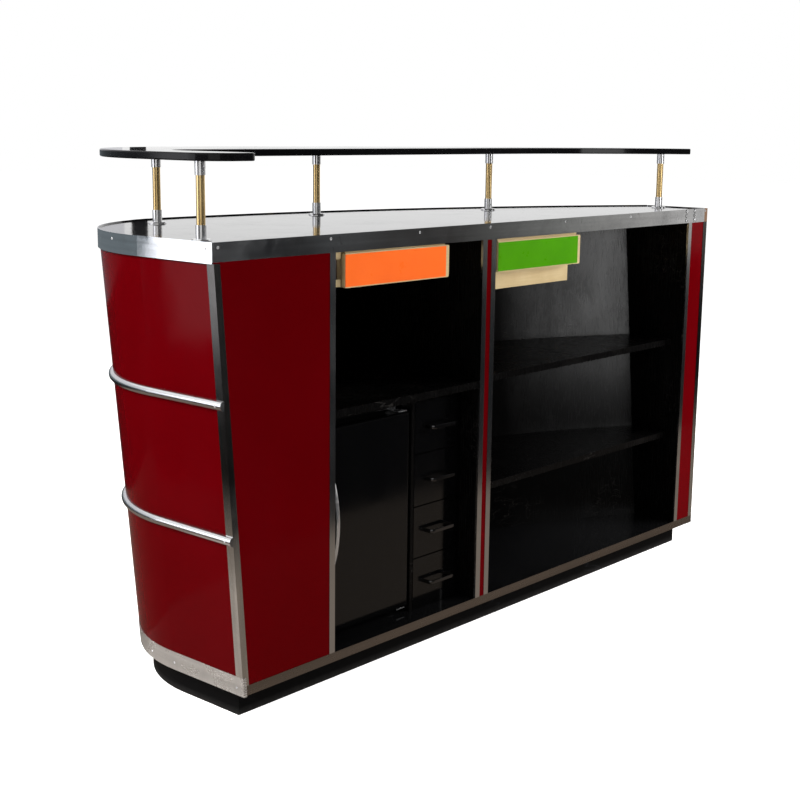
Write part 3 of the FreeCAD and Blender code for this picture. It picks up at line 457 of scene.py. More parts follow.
def rolled_metal(name, along, tint, dull, scratch_share=0.44, metallic=1.0, painted_reflections=(), reflection_tint=None):
    """Rolled strip with streaks along it and handling marks.

    Each painted reflection is a stretch (axis, start, end): the colour turns to the reflection tint from
    start to end.
    """
    f = Finish(name, Metallic=metallic)
    streak = f.noise(420.0, STREAKS[along], 5.0, 0.6)
    bands = f.noise(60.0, STREAKS[along], 3.0, 0.5)
    cloud = f.noise(14.0, detail=6.0, rough=0.65, warp=0.6)
    marks = f.scratches(70, (1, 1, 0.2), (0.9, 0.3, 0.5), 0.010, scratch_share)
    base = f.blend(f.remap(bands, 0.3, 0.7), toned(tint, 0.78), tint)
    base = f.blend(f.remap(cloud, 0.45, 0.75, 0.0, 0.35), base, toned(tint, 0.62))
    # Painted reflections: stretches of the strip turned to another tint, standing in for what the metal
    # mirrors.
    for axis, start, end in painted_reflections:
        wander = f.times(f.math("SUBTRACT", cloud, 0.5), 0.03 * abs(end - start))
        base = f.blend(f.remap(f.plus(f.axis(axis), wander), start, end), base, reflection_tint)
    f.colour(f.blend(f.times(marks, 0.7), base, (0.20, 0.19, 0.18)))
    f.rough(f.plus(f.remap(cloud, 0.3, 0.75, dull, dull + 0.10), f.times(streak, 0.06)))
    f.bump((bands, 0.000006), (f.noise(9.0, detail=1.0), 0.00010))
    return f.material


def brass():
    """Polished brass bar, its lacquer browned in places."""
    f = Finish("finish_brass", Metallic=0.84)
    tarnish = f.noise(12.0, (1, 1, 0.3), 5.0, 0.6, 0.4)
    hair = f.scratches(80, (1, 1, 0.2), (0.3, 0.2, 0.5), 0.008, 0.44)
    f.colour(f.ramp(tarnish, [(0.35, (0.74, 0.55, 0.27)), (0.60, (0.62, 0.43, 0.18)),
                              (0.80, (0.44, 0.29, 0.11))]))
    f.rough(f.plus(f.remap(tarnish, 0.3, 0.75, 0.16, 0.24), f.times(hair, 0.05)))
    f.bump((f.noise(8.0, detail=1.0), 0.00004), (hair, -0.000002))
    return f.material


def cooler_shell():
    """Smooth black enamel with a slow haze and a little dust."""
    f = Finish("finish_cooler_black", Specular_IOR_Level=0.5)
    haze = f.noise(6.0, (1, 1, 0.5), 6.0, 0.6, 0.7)
    dust = f.remap(f.noise(260.0, detail=6.0, rough=0.8), 0.66, 0.82, 0.0, 0.10)
    base = f.blend(haze, (0.0008, 0.0008, 0.0009), (0.0016, 0.0016, 0.0018))
    f.colour(f.blend(dust, base, (0.02, 0.02, 0.02)))
    f.rough(f.remap(haze, 0.3, 0.75, 0.07, 0.16))
    f.bump((f.noise(13.0, detail=1.0), 0.00012), (f.noise(520.0, detail=1.0), 0.000003))
    return f.material


def moulded_liner():
    """Pale moulded plastic of the cooler's inside, a little yellowed, with a soft grain."""
    f = Finish("finish_moulded_liner", Specular_IOR_Level=0.4)
    age = f.noise(7.0, detail=5.0, rough=0.6)
    grain = f.noise(900.0, detail=2.0)
    f.colour(f.blend(f.remap(age, 0.35, 0.75), (0.66, 0.67, 0.66), (0.60, 0.59, 0.54)))
    f.rough(f.remap(grain, 0.3, 0.7, 0.28, 0.40))
    f.bump((grain, 0.00001), (f.noise(24.0, detail=1.0), 0.00008))
    return f.material


def rubber():
    """Black gasket rubber, greyed by dust."""
    f = Finish("finish_gasket", Specular_IOR_Level=0.35)
    grain = f.noise(380.0, detail=4.0)
    dust = f.remap(f.noise(45.0, detail=6.0, rough=0.7), 0.45, 0.75)
    f.colour(f.blend(dust, (0.035, 0.035, 0.036), (0.085, 0.083, 0.080)))
    f.rough(f.remap(grain, 0.3, 0.7, 0.58, 0.78))
    f.bump((grain, 0.00003))
    return f.material


def cream_board():
    """Cream faced board with a faint straight grain, handled edges and a little yellowing."""
    f = Finish("finish_cream_board", Coat_Weight=0.15, Coat_Roughness=0.25, Specular_IOR_Level=0.4)
    grain = f.noise(260.0, (0.05, 1, 1), 5.0, 0.6)
    age = f.noise(11.0, detail=5.0, rough=0.6)
    base = f.blend(f.remap(grain, 0.3, 0.7), (0.47, 0.36, 0.19), (0.55, 0.43, 0.24))
    base = f.blend(f.remap(age, 0.45, 0.75, 0.0, 0.5), base, (0.42, 0.29, 0.14))
    soil = f.scratches(60, (0.3, 1, 1), (0.2, 0.1, 0.5), 0.012, 0.42)
    f.colour(f.blend(f.times(soil, 0.4), base, (0.30, 0.20, 0.10)))
    f.rough(f.remap(grain, 0.3, 0.7, 0.34, 0.48))
    f.bump((grain, 0.00002), (soil, -0.00002))
    return f.material


def plastic_face(name, deep, bright):
    """Coloured laminate face with a fine pebbled surface and hairlines."""
    f = Finish(name, Specular_IOR_Level=0.10)
    drift = f.remap(f.noise(9.0, detail=4.0), 0.3, 0.7)
    hair = f.scratches(90, (0.2, 1, 1), (0.3, 0.1, 0.4), 0.008, 0.46)
    f.colour(f.blend(f.times(hair, 0.25), f.blend(drift, deep, bright), toned(bright, 1.15)))
    f.rough(f.plus(f.remap(f.noise(30.0, detail=5.0), 0.3, 0.7, 0.26, 0.38), f.times(hair, 0.1)))
    f.bump((f.cells(1500.0), 0.000012), (f.noise(20.0, detail=1.0), 0.0001))
    return f.material


def brown_wood():
    """Waxed dark hardwood with open pores along the run."""
    f = Finish("finish_runner_brown", Specular_IOR_Level=0.35)
    rings = f.noise(26.0, (1, 0.05, 1.0), 5.0, 0.6, 1.6)
    pores = f.noise(520.0, (1, 0.04, 1), 3.0, 0.7)
    tone = f.ramp(rings, [(0.3, (0.060, 0.034, 0.020)), (0.5, (0.13, 0.080, 0.046)),
                          (0.7, (0.085, 0.050, 0.030))])
    f.colour(f.blend(f.remap(pores, 0.30, 0.45, 0.7, 0.0), tone, (0.025, 0.014, 0.009)))
    f.rough(f.remap(pores, 0.3, 0.7, 0.40, 0.55))
    f.bump((pores, 0.00005), (rings, 0.00003))
    return f.material


FINISHES = {
    "plinth_black": plinth_board(),
    "top_gloss": gloss_laminate("finish_top_gloss", (0.0030, 0.0030, 0.0034), (0.0055, 0.0055, 0.0062), 0.5),
    "shelf_gloss": gloss_laminate("finish_shelf_gloss", (0.0024, 0.0024, 0.0027),
                                  (0.0045, 0.0045, 0.0050), 0.15),
    "black_gloss": gloss_laminate("finish_black_gloss", (0.0035, 0.0035, 0.0038),
                                  (0.0070, 0.0070, 0.0075), 0.5),
    "black_board": black_board("finish_black_board").material,
    "lining_board": lining_board(),
    "raw_board": chipboard(),
    "red_laminate": red_laminate(),
    "chrome": polished_chrome("finish_chrome", metallic=0.88),
    "trim_chrome": polished_chrome("finish_trim_chrome"),
    "screw_zinc": polished_chrome("finish_screw_zinc", (0.78, 0.78, 0.79), (0.90, 0.90, 0.91), 0.45),
    # Near-black copy of the chrome for the small drawer pulls: painted shade for their place deep in the bay.
    "chrome_painted_shade": polished_chrome("finish_chrome_painted_shade", (0.10, 0.10, 0.105), (0.16, 0.16, 0.165)),
    "band_metal": rolled_metal("finish_band_metal", "level", (0.84, 0.86, 0.88), 0.01),
    # The copper tint near the right end of the service band is a painted reflection.
    "service_band_metal": rolled_metal("finish_service_band", "level", (0.84, 0.86, 0.88), 0.05,
                                       painted_reflections=(("X", 0.9785, 0.9815),), reflection_tint=(0.50, 0.30, 0.19)),
    # The two dark stretches up the corner trims are painted reflections.
    "corner_metal": rolled_metal("finish_corner_metal", "upright", (0.80, 0.79, 0.77), 0.14,
                                 painted_reflections=(("Z", 0.42, 0.56), ("Z", 0.78, 0.90)), reflection_tint=(0.13, 0.125, 0.12)),
    "rail_metal": rolled_metal("finish_rail_metal", "level", (0.82, 0.83, 0.84), 0.12),
    "brushed_metal": rolled_metal("finish_brushed_metal", "level", (0.72, 0.70, 0.68), 0.22, 0.34, 0.8),
    # Darker copy of the brushed metal for the straight base trims: painted shade.
    "brushed_metal_painted_shade": rolled_metal("finish_brushed_painted_shade", "level", (0.34, 0.30, 0.27), 0.20, 0.45),
    "brass": brass(),
    "cooler_black": cooler_shell(),
    "moulded_liner": moulded_liner(),
    "gasket_rubber": rubber(),
    "cream_board": cream_board(),
    "orange_laminate": plastic_face("finish_orange", (0.84, 0.125, 0.014), (0.90, 0.145, 0.018)),
    "green_laminate": plastic_face("finish_green", (0.045, 0.215, 0.0), (0.056, 0.255, 0.0)),
    "runner_brown": brown_wood(),
}
SMALL_DRAWERS = (1, 2, 3, 4)
NODE_FINISHES = {
    "top_laminate": "top_gloss", "raised_shelf": "shelf_gloss",
    "band_service": "service_band_metal", "band_curved": "band_metal", "band_end": "band_metal",
    "corner_trim_left": "corner_metal", "corner_trim_right": "corner_metal",
    "rail_upper": "rail_metal", "rail_lower": "rail_metal", "base_trims_straight": "brushed_metal_painted_shade",
    "opening_trims": "trim_chrome", "back_lining": "lining_board",
    **{"column_pull_%d" % i: "chrome_painted_shade" for i in SMALL_DRAWERS},
}
for node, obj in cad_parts.items():
    slot_name = obj.material_slots[0].material.name
    obj.material_slots[0].material = FINISHES[NODE_FINISHES.get(node, slot_name)]

# ---- round rails ---------------------------------------------------------------------------------
RAIL_STEPS = 18
RAIL_START_Y = -0.4
ROUND_SMOOTH = 50
for name, height in RAIL_HEIGHTS.items():
    profile = []
    for i in range(RAIL_STEPS + 1):
        turn = math.pi * (i / RAIL_STEPS - 0.5)
        z = height + RAIL_RADIUS * math.sin(turn)
        profile.append((skin_inset(z) - RAIL_RADIUS * math.cos(turn), z))
    bm = bmesh.new()
    swept(bm, profile, plan_stations(RAIL_START_Y, LENGTH, 3.0, 1.0), LENGTH)
    rail = piece(name + "_round", bm, "counter", "rail_metal", ROUND_SMOOTH)
    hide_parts(name)

# ---- raised shelf with its rounded edge ----------------------------------------------------------
SHELF_LOW = 1229.0
SHELF_HIGH = 1246.0
SHELF_SET = 10.0
STRIP_WIDTH = 130.0
BELLY_WIDTH = 310.0
MIDDLE_WIDTH = 188.0
MIDDLE_X = 1350.0
RIGHT_WIDTH = 130.0
NEAR_CORNER = 75.0
TIP_CORNER = 20.0
BEND = 100.0
FAR_CORNER = 50.0
END_CORNER = 3.5
EDGE_ROUND = 3.2
EDGE_STEPS = 5


def arc(centre, radius, start, stop, step, side=1):
    """Points (x, y) with the direction out of the board; side -1 where the board lies outside."""
    found = []
    for turn in even_turns(start, stop, step):
        way = Vector((math.cos(turn), math.sin(turn)))
        found.append((Vector(centre) + radius * way, side * way))
    return found


def front_point(width, x):
    """The point at one x that lies a width in from the board's outer arc."""
    reach = FRONT_RADIUS - SHELF_SET - width
    return Vector((x, FRONT_CENTRE[1] + math.sqrt(reach ** 2 - (x - BELLY_X) ** 2)))


def shelf_outline():
    """Round the board once: outer curve, right end, inner arc, straight, bend and strip."""
    right = LENGTH - SHELF_SET
    strip = SHELF_SET + STRIP_WIDTH
    belly, middle = front_point(BELLY_WIDTH, BELLY_X), front_point(MIDDLE_WIDTH, MIDDLE_X)
    tip = front_point(RIGHT_WIDTH, right)
    along = (middle - belly).normalized()
    across = Vector((along.y, -along.x))
    inner_radius = (tip - middle).length_squared / (2 * (tip - middle).dot(across))
    inner = middle + across * inner_radius
    outer_radius = FRONT_RADIUS - SHELF_SET
    far_x = right - FAR_CORNER
    far_reach = outer_radius - FAR_CORNER
    far = Vector((far_x, FRONT_CENTRE[1] + math.sqrt(far_reach ** 2 - (far_x - BELLY_X) ** 2)))
    far_turn = math.atan2(far.y - FRONT_CENTRE[1], far.x - FRONT_CENTRE[0])
    end_x = right - END_CORNER
    end = Vector((end_x, inner.y + math.sqrt((inner_radius + END_CORNER) ** 2 - (end_x - inner.x) ** 2)))
    end_turn = math.atan2(end.y - inner.y, end.x - inner.x)
    bend_x = strip + BEND
    bend = Vector((bend_x, belly.y + along.y / along.x * (bend_x - belly.x) - BEND / along.x))
    upright, quarter = math.atan2(-across.y, -across.x), math.pi / 2
    near = (SHELF_SET + NEAR_CORNER,) * 2
    outline = arc(near, NEAR_CORNER, -quarter, -2 * quarter, 9)
    outline += arc(END_CENTRE, END_RADIUS - SHELF_SET, math.pi, JOIN, 3)
    outline += arc(FRONT_CENTRE, outer_radius, JOIN, far_turn, 1)[1:]
    outline += arc(far, FAR_CORNER, far_turn, 0.0, 9)[1:]
    outline += arc(end, END_CORNER, 0.0, end_turn - math.pi, 12)
    outline += arc(inner, inner_radius, end_turn, upright, 2, -1)[1:]
    outline += arc(bend, BEND, upright, math.pi, 6, -1)
    outline += arc((strip - TIP_CORNER, SHELF_SET + TIP_CORNER), TIP_CORNER, 0.0, -quarter, 12)
    return outline


edge = []
for i in range(EDGE_STEPS + 1):
    turn = math.pi / 2 * i / EDGE_STEPS
    edge.append((EDGE_ROUND * (1 - math.sin(turn)), SHELF_LOW + EDGE_ROUND * (1 - math.cos(turn))))
edge += [(inset, SHELF_LOW + SHELF_HIGH - z) for inset, z in reversed(edge)]
bm = bmesh.new()
outline = shelf_outline()
lofted(bm, [[bm.verts.new(row(*(place - inset * way), z)) for place, way in outline] for inset, z in edge])
shelf = piece("raised_shelf_round", bm, "counter", "shelf_gloss", ROUND_SMOOTH)
shelf.modifiers.new("normals", "WEIGHTED_NORMAL").keep_sharp = True
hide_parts("raised_shelf")

# ---- screws, with radii in metres ----------------------------------------------------------------
SERVICE_WAY = (0, -1, 0)
CURVE_HEAD, SERVICE_HEAD, END_HEAD = 0.0030, 0.0034, 0.0046
SERVICE_SCREWS = ((16.1, 1056.9), (343.7, 1058.0), (643.4, 1058.0), (914.0, 1058.0), (1240.0, 1058.0),
                  (1560.0, 1058.0), (1982.0, 1060.5))
END_SCREWS = [(x, z) for x in (1871.4, 1918.8) for z in (1062.0, 1048.5, 1035.0)]
END_HEAD_Y = -0.9
END_SPOTS = [("end", math.radians(angle)) for angle in (165.6, 115.0)]
FRONT_SPOTS = [("front", math.radians(angle)) for angle in (88.0, 82.0, 76.0, 70.0, 64.0, 58.5)]
RAIL_SPOTS = [("line", 17.0), ("end", math.radians(120.0))] + FRONT_SPOTS[::2]
BAND_SPOTS = [("line", 20.0)] + END_SPOTS + FRONT_SPOTS
BASE_SPOTS = [("line", 22.0), ("line", 236.0)] + END_SPOTS + FRONT_SPOTS
BAND_SCREW_Z, BASE_SCREW_Z, BASE_TRIM_THICK = 1055.0, 83.4, 1.0
CURVE_TURN, SERVICE_TURN, END_TURN = 0.7, 0.9, 0.4      # how the cross turns on, screw by screw
CUP = ((0.0044, 0.0010), (0.0048, 0.0012), (0.0056, 0.0008), (0.0059, 0.0), (0.0044, 0.0))
CUP_STEPS = 24


def plan_screws(bm, spots, inset, z):
    """A screw at each spot of the plan line."""
    for i, station in enumerate(spots):
        x, y = on_plan(station, inset)
        screw(bm, row(x, y, z), outward(station), CURVE_HEAD, CURVE_TURN * i)


bm = bmesh.new()
for i, (x, z) in enumerate(SERVICE_SCREWS):
    screw(bm, row(x, 0, z), SERVICE_WAY, SERVICE_HEAD, SERVICE_TURN * i)
for x, z in END_SCREWS:
    screw(bm, row(x, END_HEAD_Y, z), SERVICE_WAY, END_HEAD, END_TURN * z)
plan_screws(bm, BAND_SPOTS, 0.0, BAND_SCREW_Z)
piece("band_screws", bm, "counter", "screw_zinc")

bm = bmesh.new()
for x, z in END_SCREWS:
    matrix = facing(row(x, 0, z), SERVICE_WAY)
    join_rings(bm, [circle(bm, matrix, radius, height, CUP_STEPS) for radius, height in CUP])
piece("end_screw_cups", bm, "counter", "black_gloss")

bm = bmesh.new()
for height in RAIL_HEIGHTS.values():
    plan_screws(bm, RAIL_SPOTS, skin_inset(height) - RAIL_RADIUS, height)
piece("rail_screws", bm, "counter", "screw_zinc")

bm = bmesh.new()
plan_screws(bm, BASE_SPOTS, skin_inset(BASE_SCREW_Z) - BASE_TRIM_THICK, BASE_SCREW_Z)
piece("base_trim_screws", bm, "counter", "screw_zinc")

# ---- softened edges, with widths in metres -------------------------------------------------------
SOFT_EDGES = (
    (0.0004, ["left_drawer_face", "right_drawer_face"]),
    (0.0007, ["left_drawer_front", "right_drawer_front", "shelf_right_upper", "shelf_right_lower",
              "shelf_left", "module_top", "module_divider"]),
    (0.0008, ["column_drawer_%d" % i for i in SMALL_DRAWERS]),
    (0.0009, ["column_pull_%d" % i for i in SMALL_DRAWERS] + ["cooler_handle"]),
)
WELD_WITHIN, EDGE_SEGMENTS, SHARP_FROM = 0.00002, 2, math.radians(40)


def soften(name, width):
    """Round the sharp edges of a CAD piece a little, so that they catch the light."""
    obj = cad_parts[name]
    obj.modifiers.new("join", "WELD").merge_threshold = WELD_WITHIN
    bevel = obj.modifiers.new("edges", "BEVEL")
    bevel.width = width
    bevel.segments = EDGE_SEGMENTS
    bevel.limit_method = "ANGLE"
    bevel.angle_limit = SHARP_FROM
    bevel.harden_normals = True


for width, names in SOFT_EDGES:
    for name in names:
        soften(name, width)


# ---- rim bead along the right end, in metres from here on ----------------------------------------
def extents(name):
    """Lowest and highest corner of a CAD piece, in metres."""
    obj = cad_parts[name]
    points = [obj.matrix_world @ vertex.co for vertex in obj.data.vertices]
    return [Vector([pick(p[i] for p in points) for i in range(3)]) for pick in (min, max)]


BEAD_WIDE = 0.0040
BEAD_HIGH = 0.0029
BEAD_START, BEAD_STOP = 0.001, 0.006
HAIR_GAP = 0.0001
end_low, end_high = extents("band_end")
bead_x = end_low.x - HAIR_GAP
bm = bmesh.new()
block(bm, bead_x - BEAD_WIDE, bead_x, end_low.y + BEAD_START, end_high.y - BEAD_STOP,
      RIM_Z / 1000 - BEAD_HIGH, RIM_Z / 1000)
piece("rim_bead_end", bm, "counter", "black_gloss")


# ---- inside of the cooler ------------------------------------------------------------------------
CORNER_STEPS = 5


def rounded_ring(bm, low, high, y, inset, radius):
    """Corner-rounded rectangle in the plane y, counted from (x, z) of low to (x, z) of high."""
    x0, x1, z0, z1 = low.x + inset, high.x - inset, low.z + inset, high.z - inset
    ring = []
    for i, (x, z) in enumerate(((x1 - radius, z1 - radius), (x0 + radius, z1 - radius),
                                (x0 + radius, z0 + radius), (x1 - radius, z0 + radius))):
        for k in range(CORNER_STEPS + 1):
            turn = math.pi / 2 * (i + k / CORNER_STEPS)
            ring.append(bm.verts.new((x + radius * math.cos(turn), y, z + radius * math.sin(turn))))
    return ring


CASE_WALL = 0.028
LINER = 0.0022
SMALL_GAP = 0.0003
LEDGE_WIDE = 0.012
LEDGE_HIGH = 0.009
LEDGE_BITE = 0.001
LEDGE_SET = 0.03
RACK_SHARES = (0.36, 0.68)
case_low, case_high = extents("cooler_case")
hollow_low = case_low + Vector((CASE_WALL, 0, CASE_WALL))
hollow_high = case_high - Vector((CASE_WALL, CASE_WALL, CASE_WALL))
mouth_y, back_y = case_low.y, hollow_high.y
liner_rings = (      # y, inset, corner radius: outside from back to mouth, then in to the back
    (back_y - SMALL_GAP, SMALL_GAP, 0.004), (mouth_y + 0.0004, SMALL_GAP, 0.004),
    (mouth_y + 0.0004, LINER, 0.016), (back_y - 0.020, LINER + 0.002, 0.018),
    (back_y - 0.008, LINER + 0.006, 0.020), (back_y - LINER, LINER + 0.018, 0.020))
bm = bmesh.new()
pocket(bm, [rounded_ring(bm, hollow_low, hollow_high, *ring) for ring in liner_rings])
inner_low = hollow_low + Vector((LINER, 0, LINER))
inner_high = hollow_high - Vector((LINER, 0, LINER))
rack_heights = [inner_low.z + share * (inner_high.z - inner_low.z) for share in RACK_SHARES]
for z in rack_heights:
    for x0, x1 in ((inner_low.x - LEDGE_BITE, inner_low.x + LEDGE_WIDE),
                   (inner_high.x - LEDGE_WIDE, inner_high.x + LEDGE_BITE)):
        block(bm, x0, x1, mouth_y + LEDGE_SET, back_y - LEDGE_SET, z - LEDGE_HIGH, z)
bmesh.ops.recalc_face_normals(bm, faces=bm.faces)
piece("cooler_liner", bm, "counter", "moulded_liner")

RACK_ROD = 0.0025
RACK_WIRE = 0.0013
RACK_WIRES = 13
RACK_SIDE, RACK_FRONT, RACK_BACK = 0.006, 0.035, 0.030
WIRE_OVER = 0.004
rack_x0, rack_x1 = inner_low.x + RACK_SIDE, inner_high.x - RACK_SIDE
rack_y0, rack_y1 = mouth_y + RACK_FRONT, back_y - RACK_BACK
for n, z in enumerate(rack_heights):
    bm = bmesh.new()
    level = z + RACK_ROD + SMALL_GAP
    for y in (rack_y0, rack_y1):
        rod(bm, Vector((rack_x0, y, level)), Vector((rack_x1, y, level)), RACK_ROD)
    for i in range(RACK_WIRES):
        x = rack_x0 + RACK_SIDE + (rack_x1 - rack_x0 - 2 * RACK_SIDE) * i / (RACK_WIRES - 1)
        wire = level + RACK_ROD + RACK_WIRE
        rod(bm, Vector((x, rack_y0 - WIRE_OVER, wire)), Vector((x, rack_y1 + WIRE_OVER, wire)), RACK_WIRE, 8)
    piece("cooler_rack_%d" % (n + 1), bm, "counter", "chrome")

GASKET_EDGE = 0.012
PANEL_RISE = 0.0042
PANEL_FOOT = 0.0010
BAR_SIDE = 0.028
BAR_HALF = 0.006
BAR_SHARES = (0.30, 0.62)
door_y = extents("cooler_door")[1].y
ring_low, ring_high = extents("cooler_gasket")
panel_rings = (      # rise from the door, inset from the gasket's edge, corner radius
    (0.0002, 0.0, 0.010), (PANEL_RISE - 0.001, 0.001, 0.010), (PANEL_RISE, 0.003, 0.010),
    (PANEL_RISE, 0.026, 0.014), (0.0012, 0.030, 0.014))
bm = bmesh.new()
pocket(bm, [rounded_ring(bm, ring_low, ring_high, door_y + rise, GASKET_EDGE + inset, radius)
            for rise, inset, radius in panel_rings])
for share in BAR_SHARES:
    z = ring_low.z + share * (ring_high.z - ring_low.z)
    block(bm, ring_low.x + GASKET_EDGE + BAR_SIDE, ring_high.x - GASKET_EDGE - BAR_SIDE,
          door_y + PANEL_FOOT, door_y + PANEL_RISE, z - BAR_HALF, z + BAR_HALF)
bmesh.ops.recalc_face_normals(bm, faces=bm.faces)
piece("cooler_door_liner", bm, "cooler_door_leaf", "moulded_liner")

# ---- camera, solved from the photo's vanishing points --------------------------------------------
SENSOR_WIDTH, LENS = 36.0, 62.623
CAMERA_AT = (-2.853778, -2.491049, 1.302509)
RIGHT = Vector((0.66475201, -0.74697302, 0.01166484))
DOWN = Vector((-0.13639258, -0.13670175, -0.98117771))
FORWARD = Vector((0.73450788, 0.65064885, -0.19275435))
camera_data = bpy.data.cameras.new("photo_camera")
camera = bpy.data.objects.new("photo_camera", camera_data)
bpy.context.scene.collection.objects.link(camera)
camera_data.sensor_width = SENSOR_WIDTH
camera_data.lens = LENS
camera_data.clip_start = 0.05
camera_data.clip_end = 200.0
camera.matrix_world = Matrix.Translation(CAMERA_AT) @ Matrix((RIGHT, -DOWN, -FORWARD)).transposed().to_4x4()
bpy.context.scene.camera = camera

# ---- world and floor -----------------------------------------------------------------------------
AMBIENT, SEEN_WORLD, FLOOR_GLOW = 0.30, 1.0, 0.86


def seen_directly(nodes, links):
    """1 for rays that show the background: from the camera, in gloss and through glass."""
    path = nodes.new("ShaderNodeLightPath")
    seen = path.outputs["Is Camera Ray"]
    for kind in ("Is Glossy Ray", "Is Transmission Ray"):
        either = nodes.new("ShaderNodeMath")
        either.operation = "MAXIMUM"
        links.new(seen, either.inputs[0])
        links.new(path.outputs[kind], either.inputs[1])
        seen = either.outputs[0]
    return seen


def studio_world():
    """White where it is seen, and a dimmer light on everything else."""
    world = bpy.data.worlds.new("studio")
    world.use_nodes = True
    nodes, links = world.node_tree.nodes, world.node_tree.links
    background = nodes["Background"]
    background.inputs["Color"].default_value = (1, 1, 1, 1)
    level = nodes.new("ShaderNodeMapRange")
    level.inputs["To Min"].default_value = AMBIENT
    level.inputs["To Max"].default_value = SEEN_WORLD
    links.new(seen_directly(nodes, links), level.inputs["Value"])
    links.new(level.outputs["Result"], background.inputs["Strength"])
    return world


def pale_floor():
    """Matt near-white that takes shadows and glows a little where it is seen."""
    material = bpy.data.materials.new("pale_floor")
    material.use_nodes = True
    nodes, links = material.node_tree.nodes, material.node_tree.links
    surface = nodes["Principled BSDF"]
    surface.inputs["Base Color"].default_value = (0.80, 0.79, 0.77, 1)
    surface.inputs["Roughness"].default_value = 0.9
    surface.inputs["Specular IOR Level"].default_value = 0.0
    glow = nodes.new("ShaderNodeEmission")
    glow.inputs["Color"].default_value = (1, 1, 1, 1)
    lift = nodes.new("ShaderNodeMath")
    lift.operation = "MULTIPLY"
    lift.inputs[1].default_value = FLOOR_GLOW
    links.new(seen_directly(nodes, links), lift.inputs[0])
    links.new(lift.outputs[0], glow.inputs["Strength"])
    total = nodes.new("ShaderNodeAddShader")
    links.new(surface.outputs[0], total.inputs[0])
    links.new(glow.outputs[0], total.inputs[1])
    links.new(total.outputs[0], nodes["Material Output"].inputs["Surface"])
    return material


def level_board(x0, x1, y0, y1, z):
    """Corners of a level rectangle."""
    return [(x0, y0, z), (x1, y0, z), (x1, y1, z), (x0, y1, z)]


def wall(start, end, z0, z1):
    """Corners of an upright rectangle over a line from (x, y) to (x, y)."""
    return [(*start, z0), (*end, z0), (*end, z1), (*start, z1)]


def flat_board(name, corners, material):
    """A flat piece of the stage."""
    mesh = bpy.data.meshes.new(name)
    mesh.from_pydata(corners, [], [tuple(range(len(corners)))])
    mesh.materials.append(material)
    obj = bpy.data.objects.new(name, mesh)
    bpy.context.scene.collection.objects.link(obj)
    return obj


bpy.context.scene.world = studio_world()
flat_board("floor", level_board(-30, 30, -30, 30, 0), pale_floor())


# ---- boards that only show in reflections --------------------------------------------------------
def studio_paint(name, colour=(0.02, 0.02, 0.02), strength=1.0, stops=None, reach=None):
    """What a board shows in gloss: one tone, or a slow change along X over a reach of it."""
    material = bpy.data.materials.new(name)
    material.use_nodes = True
    nodes, links = material.node_tree.nodes, material.node_tree.links
    nodes.remove(nodes["Principled BSDF"])
    paint = nodes.new("ShaderNodeEmission")
    paint.inputs["Strength"].default_value = strength
    paint.inputs["Color"].default_value = (*colour, 1)
    if stops:
        place = nodes.new("ShaderNodeTexCoord")
        split = nodes.new("ShaderNodeSeparateXYZ")
        links.new(place.outputs["Object"], split.inputs[0])
        along = nodes.new("ShaderNodeMapRange")
        along.inputs["From Min"].default_value = reach[0]
        along.inputs["From Max"].default_value = reach[1]
        links.new(split.outputs["X"], along.inputs["Value"])
        ramp = nodes.new("ShaderNodeValToRGB")
        fill_ramp(ramp.color_ramp.elements, stops)
        links.new(along.outputs["Result"], ramp.inputs["Fac"])
        links.new(ramp.outputs["Color"], paint.inputs["Color"])
    links.new(paint.outputs[0], nodes["Material Output"].inputs["Surface"])
    return material


def gloss_board(name, corners, material):
    """A piece of the stage that is seen in gloss only and throws no shadow."""
    obj = flat_board(name, corners, material)
    obj.visible_camera = False
    obj.visible_diffuse = False
    obj.visible_transmission = False
    obj.visible_shadow = False


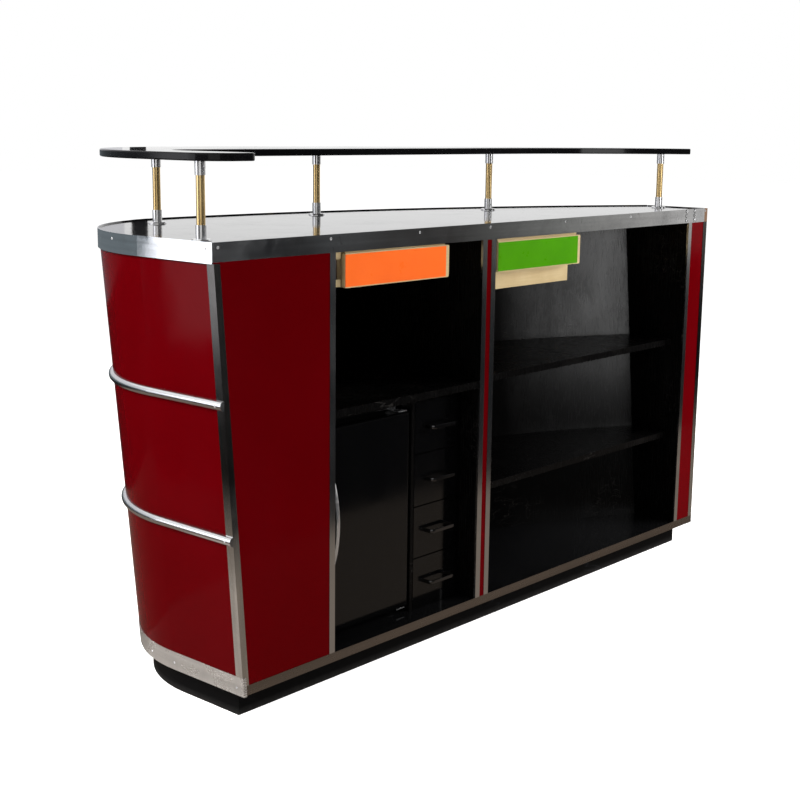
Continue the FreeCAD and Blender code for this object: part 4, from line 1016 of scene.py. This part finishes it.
FRONT_TONES = [(0.0, (0.012, 0.012, 0.013)), (0.36, (0.012, 0.011, 0.011)), (0.40, (0.068, 0.071, 0.073)),
               (0.45, (0.040, 0.038, 0.037)), (0.54, (0.024, 0.022, 0.021)), (0.69, (0.19, 0.19, 0.18)),
               (0.89, (0.48, 0.46, 0.44)), (1.0, (0.62, 0.61, 0.60))]
dark = studio_paint("studio_dark", (0.012, 0.012, 0.013))
gloss_board("dark_floor", level_board(-14, 14, -14, 14, 0.001), dark)
gloss_board("paper", level_board(-1.85, 9, -1.25, 1.6, 0.002),
            studio_paint("studio_paper", (0.20, 0.165, 0.135)))
gloss_board("front_wall", wall((-8, -6), (14, -6), 0, 8),
            studio_paint("studio_front", stops=FRONT_TONES, reach=(1.0, 11.5)))
gloss_board("dark_ceiling", level_board(-8, 14, -6, -0.5, 8), dark)
gloss_board("left_paper", level_board(-1.6, -0.9, -0.9, 0.3, 0.003),
            studio_paint("studio_left_paper", (0.42, 0.37, 0.33)))
gloss_board("right_wall", wall((14, -6), (14, 3), 0, 2.2), studio_paint("studio_right", (0.8, 0.79, 0.78)))
gloss_board("left_wall", wall((-8, -6), (-8, 6), 0, 1.4), dark)
gloss_board("back_left_wall", wall((-8, 6), (3, 6), 0, 1.3),
            studio_paint("studio_back_left", (0.15, 0.175, 0.19)))
gloss_board("back_left_light", wall((-8, 6), (3.6, 6), 1.3, 4),
            studio_paint("studio_back_left_light", (0.73, 0.73, 0.76)))
gloss_board("back_left_post", wall((3.59, 5.9), (3.74, 5.9), 0, 2.5), dark)
gloss_board("near_flag", wall((-0.4, -2.0), (0.80, -2.0), 0, 2.2), dark)
gloss_board("white_flat", wall((-5.05, 0.97), (-3.10, 2.52), 0, 2.6),
            studio_paint("studio_white", (0.95, 0.95, 1.0), 2.2))
gloss_board("camera_side_flat", wall((-8, -4.0), (-3.6, -6), 0.4, 3.4),
            studio_paint("studio_camera_side", (0.9, 0.89, 0.87)))


# ---- lamps ---------------------------------------------------------------------------------------
def softbox(name, at, aim, size, power, glossy=True):
    """A lit rectangle at one place, turned to another."""
    data = bpy.data.lights.new(name, "AREA")
    data.shape = "RECTANGLE"
    data.size, data.size_y = size
    data.energy = power
    obj = bpy.data.objects.new(name, data)
    bpy.context.scene.collection.objects.link(obj)
    obj.location = at
    obj.rotation_euler = (Vector(aim) - Vector(at)).to_track_quat("-Z", "Y").to_euler()
    obj.visible_glossy = glossy


softbox("key_softbox", (1.15, -4.2, 1.3), (0.2, 0.0, 0.6), (1.2, 1.8), 31.0)
softbox("right_softbox", (3.0, -2.6, 1.8), (0.8, -0.3, 0.8), (1.6, 1.6), 150.0, glossy=False)
softbox("left_softbox", (-3.4, 0.5, 3.0), (-0.95, 0.1, 0.9), (2.0, 1.6), 190.0, glossy=False)
softbox("top_softbox", (0.0, 0.6, 4.2), (0.0, 0.0, 0.8), (3.0, 2.0), 40.0, glossy=False)

bpy.context.scene.view_settings.view_transform = "Standard"
